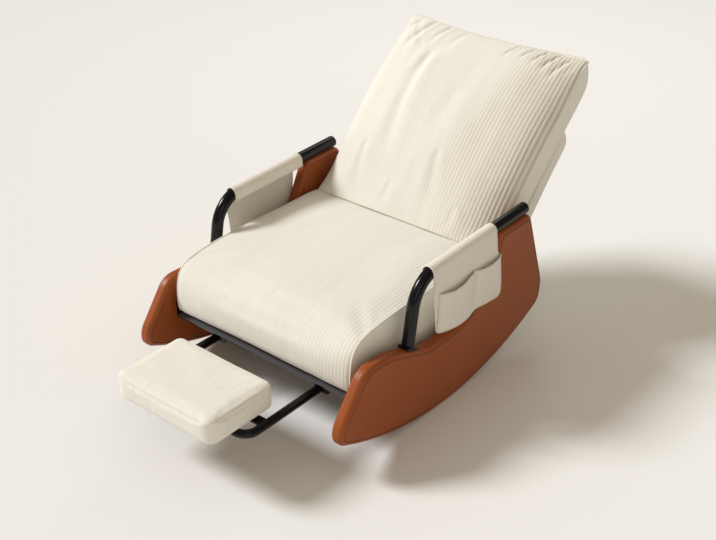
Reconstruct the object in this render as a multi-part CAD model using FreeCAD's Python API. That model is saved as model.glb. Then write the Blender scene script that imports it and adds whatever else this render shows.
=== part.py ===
# Rocking armchair with a reclining back and a sliding footrest.
# Millimetres, +Z up, the sitter looks along -Y, the sitter's left is +X.
# The origin is on the floor, in the middle of the chair's length and width.
import FreeCAD, Part
import math
import os

Vector = FreeCAD.Vector

# Side panels, which are also the rockers
panel_spacing = 660.0
panel_thickness = 36.0
panel_length = 851.0
panel_height = 405.0
panel_front = -444.0
cover_thickness = 6.0
panel_edge_radius = 11.0
seam_inset = 8.0
rocker_radius = 920.0
rocker_low_share = 0.4912
front_tip_share = 0.0964
rear_tip_share = 0.1497
cover_split_height = 130.0

# Corners of the panel from the front tip round by the top to the rear: share of the length
# behind the tip, then share of the height above the rocker's ends, as a height and as a radius
panel_corner_shares = (
    (0.004, -0.3469, 0.0),
    (0.0, 0.1191, 0.1993),
    (0.11, 0.538, 0.202),
    (0.222, 0.5245, 0.6735),
    (0.398, 0.3414, 0.4041),
    (0.632, 0.3414, 0.6061),
    (0.7455, 1.0, 0.0471),
    (0.907, 1.0, 0.0943),
    (1.007, 0.2013, 0.3637),
    (0.973, -0.3469, 0.0),
)

# Arm tubes
arm_tube_diameter = 32.0
arm_tube_wall = 2.0
arm_groove_depth = 12.2
arm_rear_inset = 14.9
arm_slope = 1.6
arm_leg_slope = 80.2
arm_bend_radius = 88.0
arm_cap_length = 5.0
arm_cap_plug_length = 14.0
# Where the foot stands on the panel's sloping edge, as a share of the way down it
foot_share = 0.5333
foot_plate_length = 42.0
foot_plate_width = 34.0
foot_plate_thickness = 7.0
stud_diameter = 8.0
stud_depth = 32.0
stud_clearance = 0.1
stud_head = 4.0
arm_stud_inset = 28.0
arm_stud_spacing = 70.0

# Arm covers and their pockets
sheet_thickness = 2.4
sheet_clearance = 0.1
cover_setback = 44.7
cover_length = 266.0
inner_flap_drop = 17.0
outer_flap_slant = 30.0
outer_flap_gap = 1.0
pocket_depth = 10.0
pocket_setback = 8.0
pocket_length = 284.0
pocket_drop = 200.8
pocket_height = 140.0
pocket_taper_share = 0.90
pocket_wall_share = 0.955
pocket_lift = 7.0

# Outlines of the long flap's lower end and of the two pockets on it, from the front round:
# share of the pocket length, share of the pocket height, share of the height as radius
flap_corner_shares = (
    (-0.010, 0.10, 0.24),
    (0.38, 0.0, 0.64),
    (0.563, 0.085, 0.14),
    (1.02, 0.065, 0.18),
    (0.961, 1.02, 0.30),
)
pocket_seam_shares = (
    (0.530, 0.86, 0.0),
    (0.545, 0.24, 0.0),
    (0.586, 0.28, 0.0),
    (0.579, 0.90, 0.0),
)
pocket_bay_shares = (
    (
        (0.056, 0.95, 0.0),
        (0.007, 0.129, 0.23),
        (0.38, 0.021, 0.64),
        (0.556, 0.114, 0.13),
        (0.542, 0.964, 0.0),
        (0.296, 0.879, 0.57),
    ),
    (
        (0.567, 0.979, 0.0),
        (0.574, 0.20, 0.10),
        (1.005, 0.10, 0.17),
        (0.951, 0.964, 0.0),
        (0.711, 0.929, 0.57),
    ),
)

# Seat frame
frame_tube_diameter = 22.0
frame_tube_wall = 2.0
mount_plate_size = 56.0
mount_plate_thickness = 4.0
mount_bolt_diameter = 8.0
mount_bolt_length = 24.0
mount_bolt_spacing = 36.0
mount_bolt_head_diameter = 14.0
mount_bolt_head_height = 4.0
front_bar_station = -329.0
middle_bar_station = 110.0
rear_bar_station = 262.0
webbing_thickness = 1.5
webbing_width = 50.0
long_webbing_count = 5
cross_webbing_count = 6
webbing_overhang = 6.0
rail_cope_gap = 0.05

# Seat cushion
seat_front = -351.0
seat_top = 322.0
seat_crown = 4.0
seat_edge_crown_share = 0.3
seat_side_gap = 1.5
seat_bottom_gap = 0.1
seat_rear_reach = 150.0
seat_corner_radius = 20.0
# The cushions are a firm layer this thick round a hollow, which stands for their light filling
cushion_layer = 10.0
# Sections from the middle to the side: share of the half width, inset of the whole section
seat_section_shares = (-1.0, -0.985, -0.94, -0.72, -0.35, 0.0, 0.35, 0.72, 0.94, 0.985, 1.0)
seat_side_inset = 11.0
seat_near_side_inset = 4.5
seat_shoulder_inset = 1.2

# Recline hinge
pivot_station = 185.0
pivot_rise = 13.0
pivot_diameter = 10.0
pivot_clearance = 0.05
pivot_head_diameter = 20.0
pivot_head_height = 3.0
pivot_side_gap = 2.5
hinge_plate_thickness = 4.0
hinge_washer_thickness = 1.0
hinge_washer_diameter = 30.0
hinge_plate_width = 44.0
recline_arm_width = 38.0
back_angle = 43.5

# Back panel, its frame and its board, set out from the hinge along the back
back_gap = 8.0
back_panel_side_gap = 19.5
back_panel_bottom = 166.0
back_panel_top = 561.0
back_panel_thickness = 48.0
back_panel_lean = 3.0
back_panel_corner_radius = 55.0
back_panel_edge_radius = 14.0
back_panel_skin = 9.0
back_tube_diameter = 19.0
back_tube_wall = 1.5
back_board_clearance = 0.2
back_hoop_inset = 48.0
back_hoop_bend_radius = 60.0
back_low_tube_rise = 20.0
back_high_tube_rise = 72.0
fastener_strip_width = 50.0
fastener_strip_length = 330.0
fastener_strip_station = 440.0
fastener_clearance = 0.15

# Back cushion
back_cushion_side_gap = 21.0
back_cushion_clearance = 3.0
back_cushion_top = 707.0
back_cushion_ear_rise = 18.0
back_cushion_seam = 90.0
back_cushion_rear_top = 655.0
back_cushion_lip_radius = 7.0
# Thickness of the front face at its side edge and in the middle of the cushion
back_side_lip = 104.0
back_side_middle = 124.0
back_side_shoulder = 112.0
back_crown_lip = 20.0
back_crown_middle = 33.0
back_crown_shoulder = 16.0
back_middle_share = 0.55
back_shoulder_share = 0.86
back_section_shares = (-1.0, -0.985, -0.93, -0.70, -0.35, 0.0, 0.35, 0.70, 0.93, 0.985, 1.0)
back_side_inset = 13.0
back_near_side_inset = 5.5
back_shoulder_inset = 1.5

# Footrest slide
slide_tube_diameter = 22.0
slide_tube_wall = 2.0
slide_half_spacing = 178.0
slide_height = 129.0
slide_bend_radius = 36.0
slide_arm_rear = -150.0
crossbar_station = -583.0
bar_gap = 1.0
sleeve_diameter = 27.0
sleeve_wall = 1.5
sleeve_rear = 150.0
bush_length = 30.0
bush_flange_length = 3.0
bush_clearance = 0.1
glide_length = 28.0
glide_clearance = 0.2
stop_pin_diameter = 5.0
stop_pin_gap = 0.5
hanger_thickness = 4.0
hanger_width = 46.0
strap_width = 28.0
strap_thickness = 5.0
strap_rise = 4.0
strap_station = -520.0
buffer_diameter = 20.0
buffer_half_spacing = 70.0
buffer_gap = 0.3

# Footrest pad
pad_half_width = 164.0
pad_depth = 218.0
pad_offset = 12.0
pad_bottom_rise = 19.5
pad_height = 66.0
pad_corner_radius = 26.0
pad_board_thickness = 10.0
pad_board_inset = 12.0
clamp_width = 28.0
clamp_wall = 6.0
clamp_half_spacing = 95.0
clamp_clearance = 0.06
clamp_screw_diameter = 5.0
clamp_screw_spacing = 46.0
clamp_screw_head_height = 3.0
# Sections of the pad from its base up: share of the height, inset
pad_level_shares = (0.0, 0.07, 0.22, 0.50, 0.74, 0.87, 0.95, 1.0)
pad_inset_shares = (0.28, 0.09, 0.0, 0.0, 0.03, 0.14, 0.40, 1.0)
pad_inset_reach = 20.0

# Worked out from the sizes above
overrun = panel_thickness
tiny = overrun / 1.0e5
half_spacing = panel_spacing / 2
inner_half = half_spacing - panel_thickness / 2
rocker_station = panel_front + rocker_low_share * panel_length
rocker_end_height = rocker_radius - math.sqrt(rocker_radius ** 2 - (panel_length / 2) ** 2)
shaped_height = panel_height - rocker_end_height
front_tip_radius = front_tip_share * shaped_height
rear_tip_radius = rear_tip_share * shaped_height
tube_radius = arm_tube_diameter / 2
arm_front_height = panel_height + tube_radius - arm_groove_depth
arm_rear = panel_front + panel_corner_shares[7][0] * panel_length - arm_rear_inset
rear_stud_station = arm_rear - arm_stud_inset
front_stud_station = rear_stud_station - arm_stud_spacing
ledge_front, ledge_rear = panel_corner_shares[3], panel_corner_shares[4]
foot_station = panel_front + panel_length * (ledge_front[0] + foot_share * (ledge_rear[0] - ledge_front[0]))
foot_height = rocker_end_height + shaped_height * (ledge_front[1] + foot_share * (ledge_rear[1] - ledge_front[1]))
arm_front = foot_station + (arm_front_height - foot_height) / math.tan(math.radians(arm_leg_slope))
cover_front = arm_front + cover_setback
cover_rear = cover_front + cover_length
pocket_front = cover_front + pocket_setback
pocket_bottom = arm_front_height - pocket_drop
frame_radius = frame_tube_diameter / 2
slide_radius = slide_tube_diameter / 2
sleeve_radius = sleeve_diameter / 2
back_tube_radius = back_tube_diameter / 2
bar_height = slide_height + slide_radius + bar_gap + frame_radius
hinge_arm_outer = inner_half - pivot_side_gap - pivot_head_height
hinge_arm_inner = hinge_arm_outer - hinge_plate_thickness
hinge_plate_outer = hinge_arm_inner - hinge_washer_thickness
hinge_plate_inner = hinge_plate_outer - hinge_plate_thickness
rail_half_spacing = hinge_plate_inner - frame_radius
pivot_height = bar_height + pivot_rise
seat_half_width = hinge_plate_inner - seat_side_gap
back_panel_half_width = hinge_arm_inner - back_panel_side_gap
back_hoop_half_width = back_panel_half_width - back_hoop_inset
back_cushion_half_width = inner_half - back_cushion_side_gap
seat_bottom = bar_height + frame_radius + 2 * webbing_thickness + seat_bottom_gap
seat_rear_radius = seat_top - pivot_height
crossbar_height = slide_height
pad_bottom = slide_height + pad_bottom_rise


def side_point(x):
    # Points of a side view, at a given distance from the middle
    return lambda y, z: Vector(x, y, z)


def plan_point(z):
    # Points of a view from above, at a given height
    return lambda x, y: Vector(x, y, z)


def unit(vector):
    return vector * (1 / vector.Length)


def corner_round(before, corner, after, place):
    # Start, middle and end of the tangent arc in a corner of two straight lines
    here = place(corner[0], corner[1])
    back = unit(place(before[0], before[1]) - here)
    onward = unit(place(after[0], after[1]) - here)
    half_angle = back.getAngle(onward) / 2
    reach = corner[2] / math.tan(half_angle)
    depth = corner[2] / math.sin(half_angle) - corner[2]
    return here + back * reach, here + unit(back + onward) * depth, here + onward * reach


def rounded_wire(corners, place):
    # A closed outline of straight lines whose corners are tangent arcs
    count = len(corners)
    rounds = [corner_round(corners[index - 1], corners[index], corners[(index + 1) % count], place)
              for index in range(count)]
    pieces = []
    for index in range(count):
        if corners[index][2] > 0:
            pieces.append(rounds[index])
        start, end = rounds[index][2], rounds[(index + 1) % count][0]
        if (end - start).Length > tiny:
            pieces.append((start, end))
    return chain_wire(pieces)


def chain_wire(pieces):
    # A closed outline of three-point arcs and lines, each a list of 3 or 2 points
    edges = []
    for piece in pieces:
        if len(piece) == 3:
            edges.append(Part.Arc(*piece).toShape())
        else:
            edges.append(Part.LineSegment(*piece).toShape())
    return Part.Wire(edges)


def slab(wire, direction):
    return Part.Face(wire).extrude(direction)


def box(x0, x1, y0, y1, z0, z1):
    return Part.makeBox(x1 - x0, y1 - y0, z1 - z0, Vector(x0, y0, z0))


def cross_cylinder(radius, x0, x1, y, z):
    # A cylinder that runs across the chair
    return Part.makeCylinder(radius, x1 - x0, Vector(x0, y, z), Vector(1, 0, 0))


def long_cylinder(radius, y0, y1, x, z):
    # A cylinder that runs from the front to the rear
    return Part.makeCylinder(radius, y1 - y0, Vector(x, y0, z), Vector(0, 1, 0))


def mirrored(shape):
    return shape.mirror(Vector(0, 0, 0), Vector(1, 0, 0))


def turned(shape, angle, y, z):
    # The shape turned about a line across the chair
    copy = shape.copy()
    copy.rotate(Vector(0, y, z), Vector(1, 0, 0), angle)
    return copy


def swept(path_edges, radius):
    # A round bar along a path of straight runs and tangent arcs
    path = Part.Wire(path_edges)
    first = path.Edges[0]
    start = first.valueAt(first.FirstParameter)
    direction = first.tangentAt(first.FirstParameter)
    ring = Part.Wire(Part.makeCircle(radius, start, direction))
    return path.makePipeShell([ring], True, False)


def swept_tube(path_edges, radius, wall):
    return swept(path_edges, radius).cut(swept(path_edges, radius - wall))


# Side panels

def panel_corner_points():
    return [
        (panel_front + along * panel_length, rocker_end_height + up * shaped_height, radius * shaped_height)
        for along, up, radius in panel_corner_shares
    ]


def tip_round(low, high, radius, x):
    # The arc that joins a straight end of the panel to the rocker's arc: the centre lies one
    # radius inside both
    at = side_point(x)
    centre = at(rocker_station, rocker_radius)
    start = at(low[0], low[1])
    along = unit(at(high[0], high[1]) - start)
    inward = Vector(0, along.z, -along.y)
    if inward.dot(centre - start) < 0:
        inward = -inward
    offset = start + inward * radius - centre
    half = offset.dot(along)
    shift = -half - math.sqrt(half ** 2 - offset.dot(offset) + (rocker_radius - radius) ** 2)
    middle = centre + offset + along * shift
    on_line = start + along * shift
    on_rocker = centre + unit(middle - centre) * rocker_radius
    between = middle + unit((on_line - middle) + (on_rocker - middle)) * radius
    return on_line, between, on_rocker


def panel_wire(x):
    # The panel's side view: the rocker's arc, a round tip at each end and the shaped top
    corners = panel_corner_points()
    at = side_point(x)
    front_line, front_between, front_rocker = tip_round(corners[0], corners[1], front_tip_radius, x)
    rear_line, rear_between, rear_rocker = tip_round(corners[-1], corners[-2], rear_tip_radius, x)
    pieces = [(front_rocker, front_between, front_line)]
    last = front_line
    for index in range(1, len(corners) - 1):
        start, between, end = corner_round(corners[index - 1], corners[index], corners[index + 1], at)
        pieces.append((last, start))
        pieces.append((start, between, end))
        last = end
    pieces.append((last, rear_line))
    pieces.append((rear_line, rear_between, rear_rocker))
    pieces.append((rear_rocker, at(rocker_station, 0), front_rocker))
    return chain_wire(pieces)


def panel_blank():
    x0 = half_spacing - panel_thickness / 2
    return slab(panel_wire(x0), Vector(panel_thickness, 0, 0))


def face_at(solid, x):
    faces = [f for f in solid.Faces if abs(f.CenterOfMass.x - x) < tiny and f.normalAt(0, 0).x ** 2 > 0.9]
    return max(faces, key=lambda f: f.Area)


def inset_slab(face, inset, x0, x1):
    smaller = Part.Face(face.OuterWire).makeOffset2D(-inset)
    moved = smaller.copy()
    moved.translate(Vector(x0 - face.CenterOfMass.x, 0, 0))
    return moved.extrude(Vector(x1 - x0, 0, 0))


def panel_parts():
    blank = panel_blank()
    x0 = half_spacing - panel_thickness / 2
    x1 = half_spacing + panel_thickness / 2
    outline = face_at(blank, x0)
    rim = [e for e in blank.Edges
           if len({round(v.X, 3) for v in e.Vertexes}) == 1 and e.Length > tiny]
    body = blank.makeFillet(panel_edge_radius, rim)
    core = inset_slab(outline, cover_thickness, x0 + cover_thickness, x1 - cover_thickness)
    inner_skin = body.common(inset_slab(outline, seam_inset, x0, x0 + cover_thickness))
    outer_skin = body.common(inset_slab(outline, seam_inset, x1 - cover_thickness, x1))
    band = body.cut(core).cut(inner_skin).cut(outer_skin)
    low = box(x0 - overrun, x1 + overrun, panel_front - overrun, panel_front + panel_length + overrun,
              -overrun, cover_split_height)
    tread = band.common(low)
    upper = band.cut(low)
    upper = upper.cut(arm_bar(tube_radius))
    for cutter in arm_stud_cutters() + mount_bolt_cutters():
        core = core.cut(cutter)
        upper = upper.cut(cutter)
        inner_skin = inner_skin.cut(cutter)
    return {
        "rocker_board": core,
        "rocker_leather_inner": inner_skin,
        "rocker_leather_outer": outer_skin,
        "rocker_tread_band": tread,
        "rocker_top_band": upper,
    }


# Arm tubes

def arm_path(rear):
    # From the foot up the leg, round the bend and back along the arm
    corner = Vector(half_spacing, arm_front, arm_front_height)
    leg = math.radians(arm_leg_slope)
    rise = math.radians(arm_slope)
    down = Vector(0, -math.cos(leg), -math.sin(leg))
    back = Vector(0, math.cos(rise), math.sin(rise))
    half_angle = down.getAngle(back) / 2
    reach = arm_bend_radius / math.tan(half_angle)
    depth = arm_bend_radius / math.sin(half_angle) - arm_bend_radius
    entry = corner + down * reach
    exit_point = corner + back * reach
    middle = corner + unit(down + back) * depth
    foot = corner + down * ((corner.z - foot_ground().z) / -down.z)
    end = corner + back * ((rear - corner.y) / back.y)
    return [
        Part.LineSegment(foot, entry).toShape(),
        Part.Arc(entry, middle, exit_point).toShape(),
        Part.LineSegment(exit_point, end).toShape(),
    ], back, end


def foot_ground():
    # The point of the panel's top edge under the foot
    return Vector(half_spacing, foot_station, foot_height)


def foot_tilt():
    corners = panel_corner_points()
    before, after = corners[3], corners[4]
    return math.degrees(math.atan2(after[1] - before[1], after[0] - before[0]))


def arm_bar(radius):
    return swept(arm_path(arm_rear)[0], radius)


def arm_height(y):
    return arm_front_height + (y - arm_front) * math.tan(math.radians(arm_slope))


def arm_stud_axes():
    # Each stud: its middle at the tube's underside and the way up
    rise = math.radians(arm_slope)
    up = Vector(0, -math.sin(rise), math.cos(rise))
    axes = [(Vector(half_spacing, y, arm_height(y)) - up * (tube_radius - arm_tube_wall), up)
            for y in (front_stud_station, rear_stud_station)]
    tilt = math.radians(foot_tilt())
    foot_up = Vector(0, -math.sin(tilt), math.cos(tilt))
    axes.append((foot_ground() + foot_up * foot_plate_thickness, foot_up))
    return axes


def arm_stud_cutters():
    return [
        Part.makeCylinder(stud_diameter / 2 + stud_clearance, stud_depth + 2 * stud_head,
                          point - up * stud_depth, up)
        for point, up in arm_stud_axes()
    ]


def arm_studs():
    return Part.makeCompound([
        Part.makeCylinder(stud_diameter / 2, stud_depth + stud_head, point - up * stud_depth, up)
        for point, up in arm_stud_axes()
    ])


def foot_plate():
    ground = foot_ground()
    half_length, half_width = foot_plate_length / 2, foot_plate_width / 2
    corner = stud_diameter / 2
    corners = [(-half_width, -half_length, corner), (half_width, -half_length, corner),
               (half_width, half_length, corner), (-half_width, half_length, corner)]
    plate = slab(rounded_wire(corners, plan_point(0)), Vector(0, 0, foot_plate_thickness))
    plate.rotate(Vector(0, 0, 0), Vector(1, 0, 0), foot_tilt())
    plate.translate(ground)
    return plate


def below_foot_plate():
    reach = foot_plate_length * 2
    block = box(-reach, reach, -reach, reach, -reach, foot_plate_thickness)
    block.rotate(Vector(0, 0, 0), Vector(1, 0, 0), foot_tilt())
    block.translate(foot_ground())
    return block


def arm_parts():
    edges, back, end = arm_path(arm_rear)
    tube = swept_tube(edges, tube_radius, arm_tube_wall).cut(below_foot_plate())
    plate = foot_plate()
    for cutter in arm_stud_cutters():
        tube = tube.cut(cutter)
        plate = plate.cut(cutter)
    dome = Part.makeCylinder(tube_radius, arm_cap_length, end, back)
    rim = [e for e in dome.Edges if abs((e.CenterOfMass - end).Length - arm_cap_length) < tiny]
    dome = dome.makeFillet(arm_cap_length * 0.8, rim)
    plug = Part.makeCylinder(tube_radius - arm_tube_wall, arm_cap_plug_length,
                             end - back * arm_cap_plug_length, back)
    return {
        "arm_tube": tube,
        "arm_foot_plate": plate,
        "arm_end_cap": dome.fuse(plug).removeSplitter(),
        "arm_studs": arm_studs(),
    }


# Arm covers and pockets

def cover_section():
    # The sheet seen along the tube: short flap inside, long flap outside
    inside = tube_radius + sheet_clearance
    outside = inside + sheet_thickness
    flap = panel_thickness / 2 + outer_flap_gap
    drop = arm_front_height - pocket_bottom + overrun

    def at(x, z):
        return Vector(x, 0, z)

    return chain_wire([
        (at(-outside, -inner_flap_drop), at(-outside, 0)),
        (at(-outside, 0), at(0, outside), at(outside, 0)),
        (at(outside, 0), at(flap + sheet_thickness, -outer_flap_slant)),
        (at(flap + sheet_thickness, -outer_flap_slant), at(flap + sheet_thickness, -drop)),
        (at(flap + sheet_thickness, -drop), at(flap, -drop)),
        (at(flap, -drop), at(flap, -outer_flap_slant)),
        (at(flap, -outer_flap_slant), at(inside, 0)),
        (at(inside, 0), at(0, inside), at(-inside, 0)),
        (at(-inside, 0), at(-inside, -inner_flap_drop)),
        (at(-inside, -inner_flap_drop), at(-outside, -inner_flap_drop)),
    ])


def arm_cover():
    reach = cover_rear - cover_front + pocket_length
    start = cover_front - overrun
    sheet = slab(cover_section(), Vector(0, reach, 0))
    sheet.translate(Vector(half_spacing, start, arm_height(start)))
    sheet = turned(sheet, arm_slope, start, arm_height(start))
    top = arm_front_height + 2 * arm_tube_diameter
    outline = [(cover_front, top, 0.0)] + pocket_corners(flap_corner_shares) + [(cover_rear, top, 0.0)]
    mask = slab(rounded_wire(outline, side_point(inner_half - overrun)),
                Vector(panel_thickness + 2 * overrun, 0, 0))
    return sheet.common(mask)


def pocket_corners(shares):
    return [
        (pocket_front + along * pocket_length, pocket_bottom + up * pocket_height, radius * pocket_height)
        for along, up, radius in shares
    ]


def pocket_bay(shares):
    x = half_spacing + panel_thickness / 2 + outer_flap_gap + sheet_thickness
    wire = rounded_wire(pocket_corners(shares), side_point(x))
    centre = wire.BoundBox.Center
    face = wire.copy()
    face.scale(pocket_taper_share, centre)
    face.translate(Vector(pocket_depth, 0, 0))
    bulge = Part.makeLoft([wire, face], True, True)
    hollow = bulge.copy()
    hollow.scale(pocket_wall_share, centre)
    hollow.translate(Vector(-sheet_thickness, 0, pocket_lift))
    return bulge.cut(hollow)


def arm_pocket():
    # Two bays of one cloth, stitched down along the strip between them
    x = half_spacing + panel_thickness / 2 + outer_flap_gap + sheet_thickness
    strip = slab(rounded_wire(pocket_corners(pocket_seam_shares), side_point(x)),
                 Vector(sheet_thickness, 0, 0))
    pocket = strip
    for shares in pocket_bay_shares:
        pocket = pocket.fuse(pocket_bay(shares))
    return pocket.removeSplitter()


# Seat frame

def cross_tube(half_length, y, z, radius, wall):
    outer = cross_cylinder(radius, -half_length, half_length, y, z)
    return outer.cut(cross_cylinder(radius - wall, -half_length, half_length, y, z))


def long_tube(x, y0, y1, z, radius, wall):
    return long_cylinder(radius, y0, y1, x, z).cut(long_cylinder(radius - wall, y0, y1, x, z))


def sleeve_bars():
    return [long_cylinder(sleeve_radius, sleeve_front(), sleeve_rear, x, slide_height)
            for x in (-slide_half_spacing, slide_half_spacing)]


def sleeve_front():
    return front_bar_station + frame_radius + hanger_thickness


def cross_bars():
    plate_face = inner_half - mount_plate_thickness
    front = cross_tube(plate_face, front_bar_station, bar_height, frame_radius, frame_tube_wall)
    middle = cross_tube(plate_face, middle_bar_station, bar_height, frame_radius, frame_tube_wall)
    for sleeve in sleeve_bars():
        middle = middle.cut(sleeve)
    rear = cross_tube(rail_half_spacing + frame_radius, rear_bar_station, bar_height,
                      frame_radius, frame_tube_wall)
    return front, middle, rear


def side_rails(y0, y1):
    # Two rails between a pair of cross bars, coped on both
    rails = []
    for x in (-rail_half_spacing, rail_half_spacing):
        rail = long_tube(x, y0, y1, bar_height, frame_radius, frame_tube_wall)
        for y in (y0, y1):
            rail = rail.cut(cross_cylinder(frame_radius + rail_cope_gap, -inner_half, inner_half, y, bar_height))
        rails.append(rail)
    return Part.makeCompound(rails)


def mount_plate(station):
    # Flush with the front and the underside of its bar, so that it stays behind the cushion
    low_y, low_z = station - frame_radius, bar_height - frame_radius
    high_y, high_z = low_y + mount_plate_size, low_z + mount_plate_size
    corner = mount_bolt_diameter
    corners = [(low_y, low_z, corner), (high_y, low_z, corner), (high_y, high_z, corner), (low_y, high_z, corner)]
    x = inner_half - mount_plate_thickness
    plate = slab(rounded_wire(corners, side_point(x)), Vector(mount_plate_thickness, 0, 0))
    for cutter in mount_bolt_cutters():
        plate = plate.cut(cutter)
    return plate


def mount_bolt_places():
    half = mount_bolt_spacing / 2
    centre = mount_plate_size / 2 - frame_radius
    return [(station + centre + step, bar_height + centre - step)
            for station in (front_bar_station, middle_bar_station)
            for step in (-half, half)]


def mount_bolt_cutters():
    x0 = inner_half - mount_plate_thickness - overrun
    x1 = inner_half + mount_bolt_length
    return [cross_cylinder(mount_bolt_diameter / 2 + stud_clearance, x0, x1, y, z)
            for y, z in mount_bolt_places()]


def mount_bolts():
    face = inner_half - mount_plate_thickness
    bolts = []
    for y, z in mount_bolt_places():
        shank = cross_cylinder(mount_bolt_diameter / 2, face, inner_half + mount_bolt_length, y, z)
        head = cross_cylinder(mount_bolt_head_diameter / 2, face - mount_bolt_head_height, face, y, z)
        rim = [e for e in head.Edges if abs(e.CenterOfMass.x - face + mount_bolt_head_height) < tiny]
        head = head.makeFillet(mount_bolt_head_height / 2, rim)
        bolts.append(shank.fuse(head).removeSplitter())
    return bolts


def long_webbing():
    y0 = front_bar_station - webbing_overhang
    y1 = rear_bar_station + webbing_overhang
    z = bar_height + frame_radius + webbing_thickness
    step = 2 * rail_half_spacing / (long_webbing_count + 1)
    straps = []
    for index in range(long_webbing_count):
        x = -rail_half_spacing + step * (index + 1)
        straps.append(box(x - webbing_width / 2, x + webbing_width / 2, y0, y1, z, z + webbing_thickness))
    return Part.makeCompound(straps)


def cross_webbing():
    z = bar_height + frame_radius
    half = rail_half_spacing + webbing_overhang
    step = (rear_bar_station - front_bar_station) / (cross_webbing_count - 1)
    straps = []
    for index in range(cross_webbing_count):
        y = front_bar_station + step * index
        straps.append(box(-half, half, y - webbing_width / 2, y + webbing_width / 2, z, z + webbing_thickness))
    return Part.makeCompound(straps)


# Seat cushion

def seat_inset(share):
    reach = abs(share)
    if reach == 1.0:
        return seat_side_inset
    if reach > 0.97:
        return seat_near_side_inset
    if reach > 0.9:
        return seat_shoulder_inset
    return 0.0


def seat_profile(share, layer=0.0):
    # One section of the cushion: rolled front, crowned top, round rear end about the hinge
    at = side_point(share * (seat_half_width - layer))
    inset = seat_inset(share) + layer
    fullness = 1 - share * share
    front = seat_front - seat_crown * fullness + inset
    bottom = seat_bottom + inset * 0.4
    top = seat_top - inset
    height = top - bottom
    depth = pivot_station - front
    crown = seat_crown * (fullness + seat_edge_crown_share)
    rear_radius = seat_rear_radius - inset
    corner = seat_corner_radius

    def along(y_share, z_share, lift=0.0):
        return at(front + depth * y_share, bottom + height * z_share + lift)

    def rear(angle):
        turn = math.radians(angle)
        return at(pivot_station + rear_radius * math.cos(turn), pivot_height + rear_radius * math.sin(turn))

    heel = at(pivot_station + seat_rear_reach - inset - corner, bottom)
    rear_low = rear(18)
    toe = at(front + corner, bottom)
    toe_up = at(front + corner * 0.12, bottom + corner)
    return chain_wire([
        (toe, at(front + corner * 0.36, bottom + corner * 0.3), toe_up),
        (toe_up, along(0.0, 0.38), along(0.012, 0.64)),
        (along(0.012, 0.64), along(0.046, 0.835), along(0.13, 0.94)),
        (along(0.13, 0.94), along(0.32, 1.0, crown * 0.8), along(0.52, 1.0, crown)),
        (along(0.52, 1.0, crown), along(0.78, 1.0, crown * 0.55), rear(90)),
        (rear(90), rear(54), rear_low),
        (rear_low, at((rear_low.y + heel.y) / 2 + corner * 0.35, bottom + corner * 0.45), heel),
        (heel, toe),
    ])


def seat_cushion():
    body = Part.makeLoft([seat_profile(share) for share in seat_section_shares], True, False)
    hollow = Part.makeLoft([seat_profile(share, cushion_layer) for share in seat_section_shares], True, False)
    return body.cut(hollow)


# Recline hinge

def back_point(along, out, x=0.0, lean=0.0):
    # A point of the back: distance up the back from the hinge, distance in front of it
    turn = math.radians(back_angle + lean)
    y = pivot_station + along * math.cos(turn) - out * math.sin(turn)
    z = pivot_height + along * math.sin(turn) + out * math.cos(turn)
    return Vector(x, y, z)


def panel_point(along, out, x=0.0):
    # The back panel leans a little more upright than the cushion and meets it at its top
    crown = back_point(back_panel_top, 0.0, x)
    turn = math.radians(back_angle + back_panel_lean)
    down = back_panel_top - along
    return crown + Vector(0, -down * math.cos(turn) - out * math.sin(turn),
                          -down * math.sin(turn) + out * math.cos(turn))


def hinge_plate():
    half = hinge_plate_width / 2
    low = bar_height - frame_radius
    corners = [
        (pivot_station - 2 * half, low, half / 4),
        (pivot_station + half, low, half / 4),
        (pivot_station + half, pivot_height + half, half * 0.9),
        (pivot_station - half, pivot_height + half, half * 0.9),
    ]
    plate = slab(rounded_wire(corners, side_point(hinge_plate_inner)), Vector(hinge_plate_thickness, 0, 0))
    hole = cross_cylinder(pivot_diameter / 2, 0, inner_half, pivot_station, pivot_height)
    return plate.cut(hole)


def pivot_rivet():
    shank = cross_cylinder(pivot_diameter / 2, hinge_plate_inner - pivot_head_height,
                           hinge_arm_outer + pivot_head_height, pivot_station, pivot_height)
    heads = [
        cross_cylinder(pivot_head_diameter / 2, hinge_arm_outer, hinge_arm_outer + pivot_head_height,
                       pivot_station, pivot_height),
        cross_cylinder(pivot_diameter / 2 + pivot_head_height / 2, hinge_plate_inner - pivot_head_height,
                       hinge_plate_inner, pivot_station, pivot_height),
    ]
    rivet = shank
    for head in heads:
        rivet = rivet.fuse(head)
    return rivet.removeSplitter().cut(seat_side_clear())


def seat_side_clear():
    # Nothing of the rivet reaches into the cushion's side
    return box(0, seat_half_width + seat_side_gap / 2, pivot_station - overrun, pivot_station + overrun,
               pivot_height - overrun, pivot_height + overrun)


def hinge_washer():
    ring = cross_cylinder(hinge_washer_diameter / 2, hinge_plate_outer, hinge_arm_inner,
                          pivot_station, pivot_height)
    return ring.cut(cross_cylinder(pivot_diameter / 2 + pivot_clearance, 0, inner_half,
                                   pivot_station, pivot_height))


def cross_tube_spot(rise):
    return panel_point(back_panel_bottom + rise, -back_panel_thickness / 2)


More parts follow.
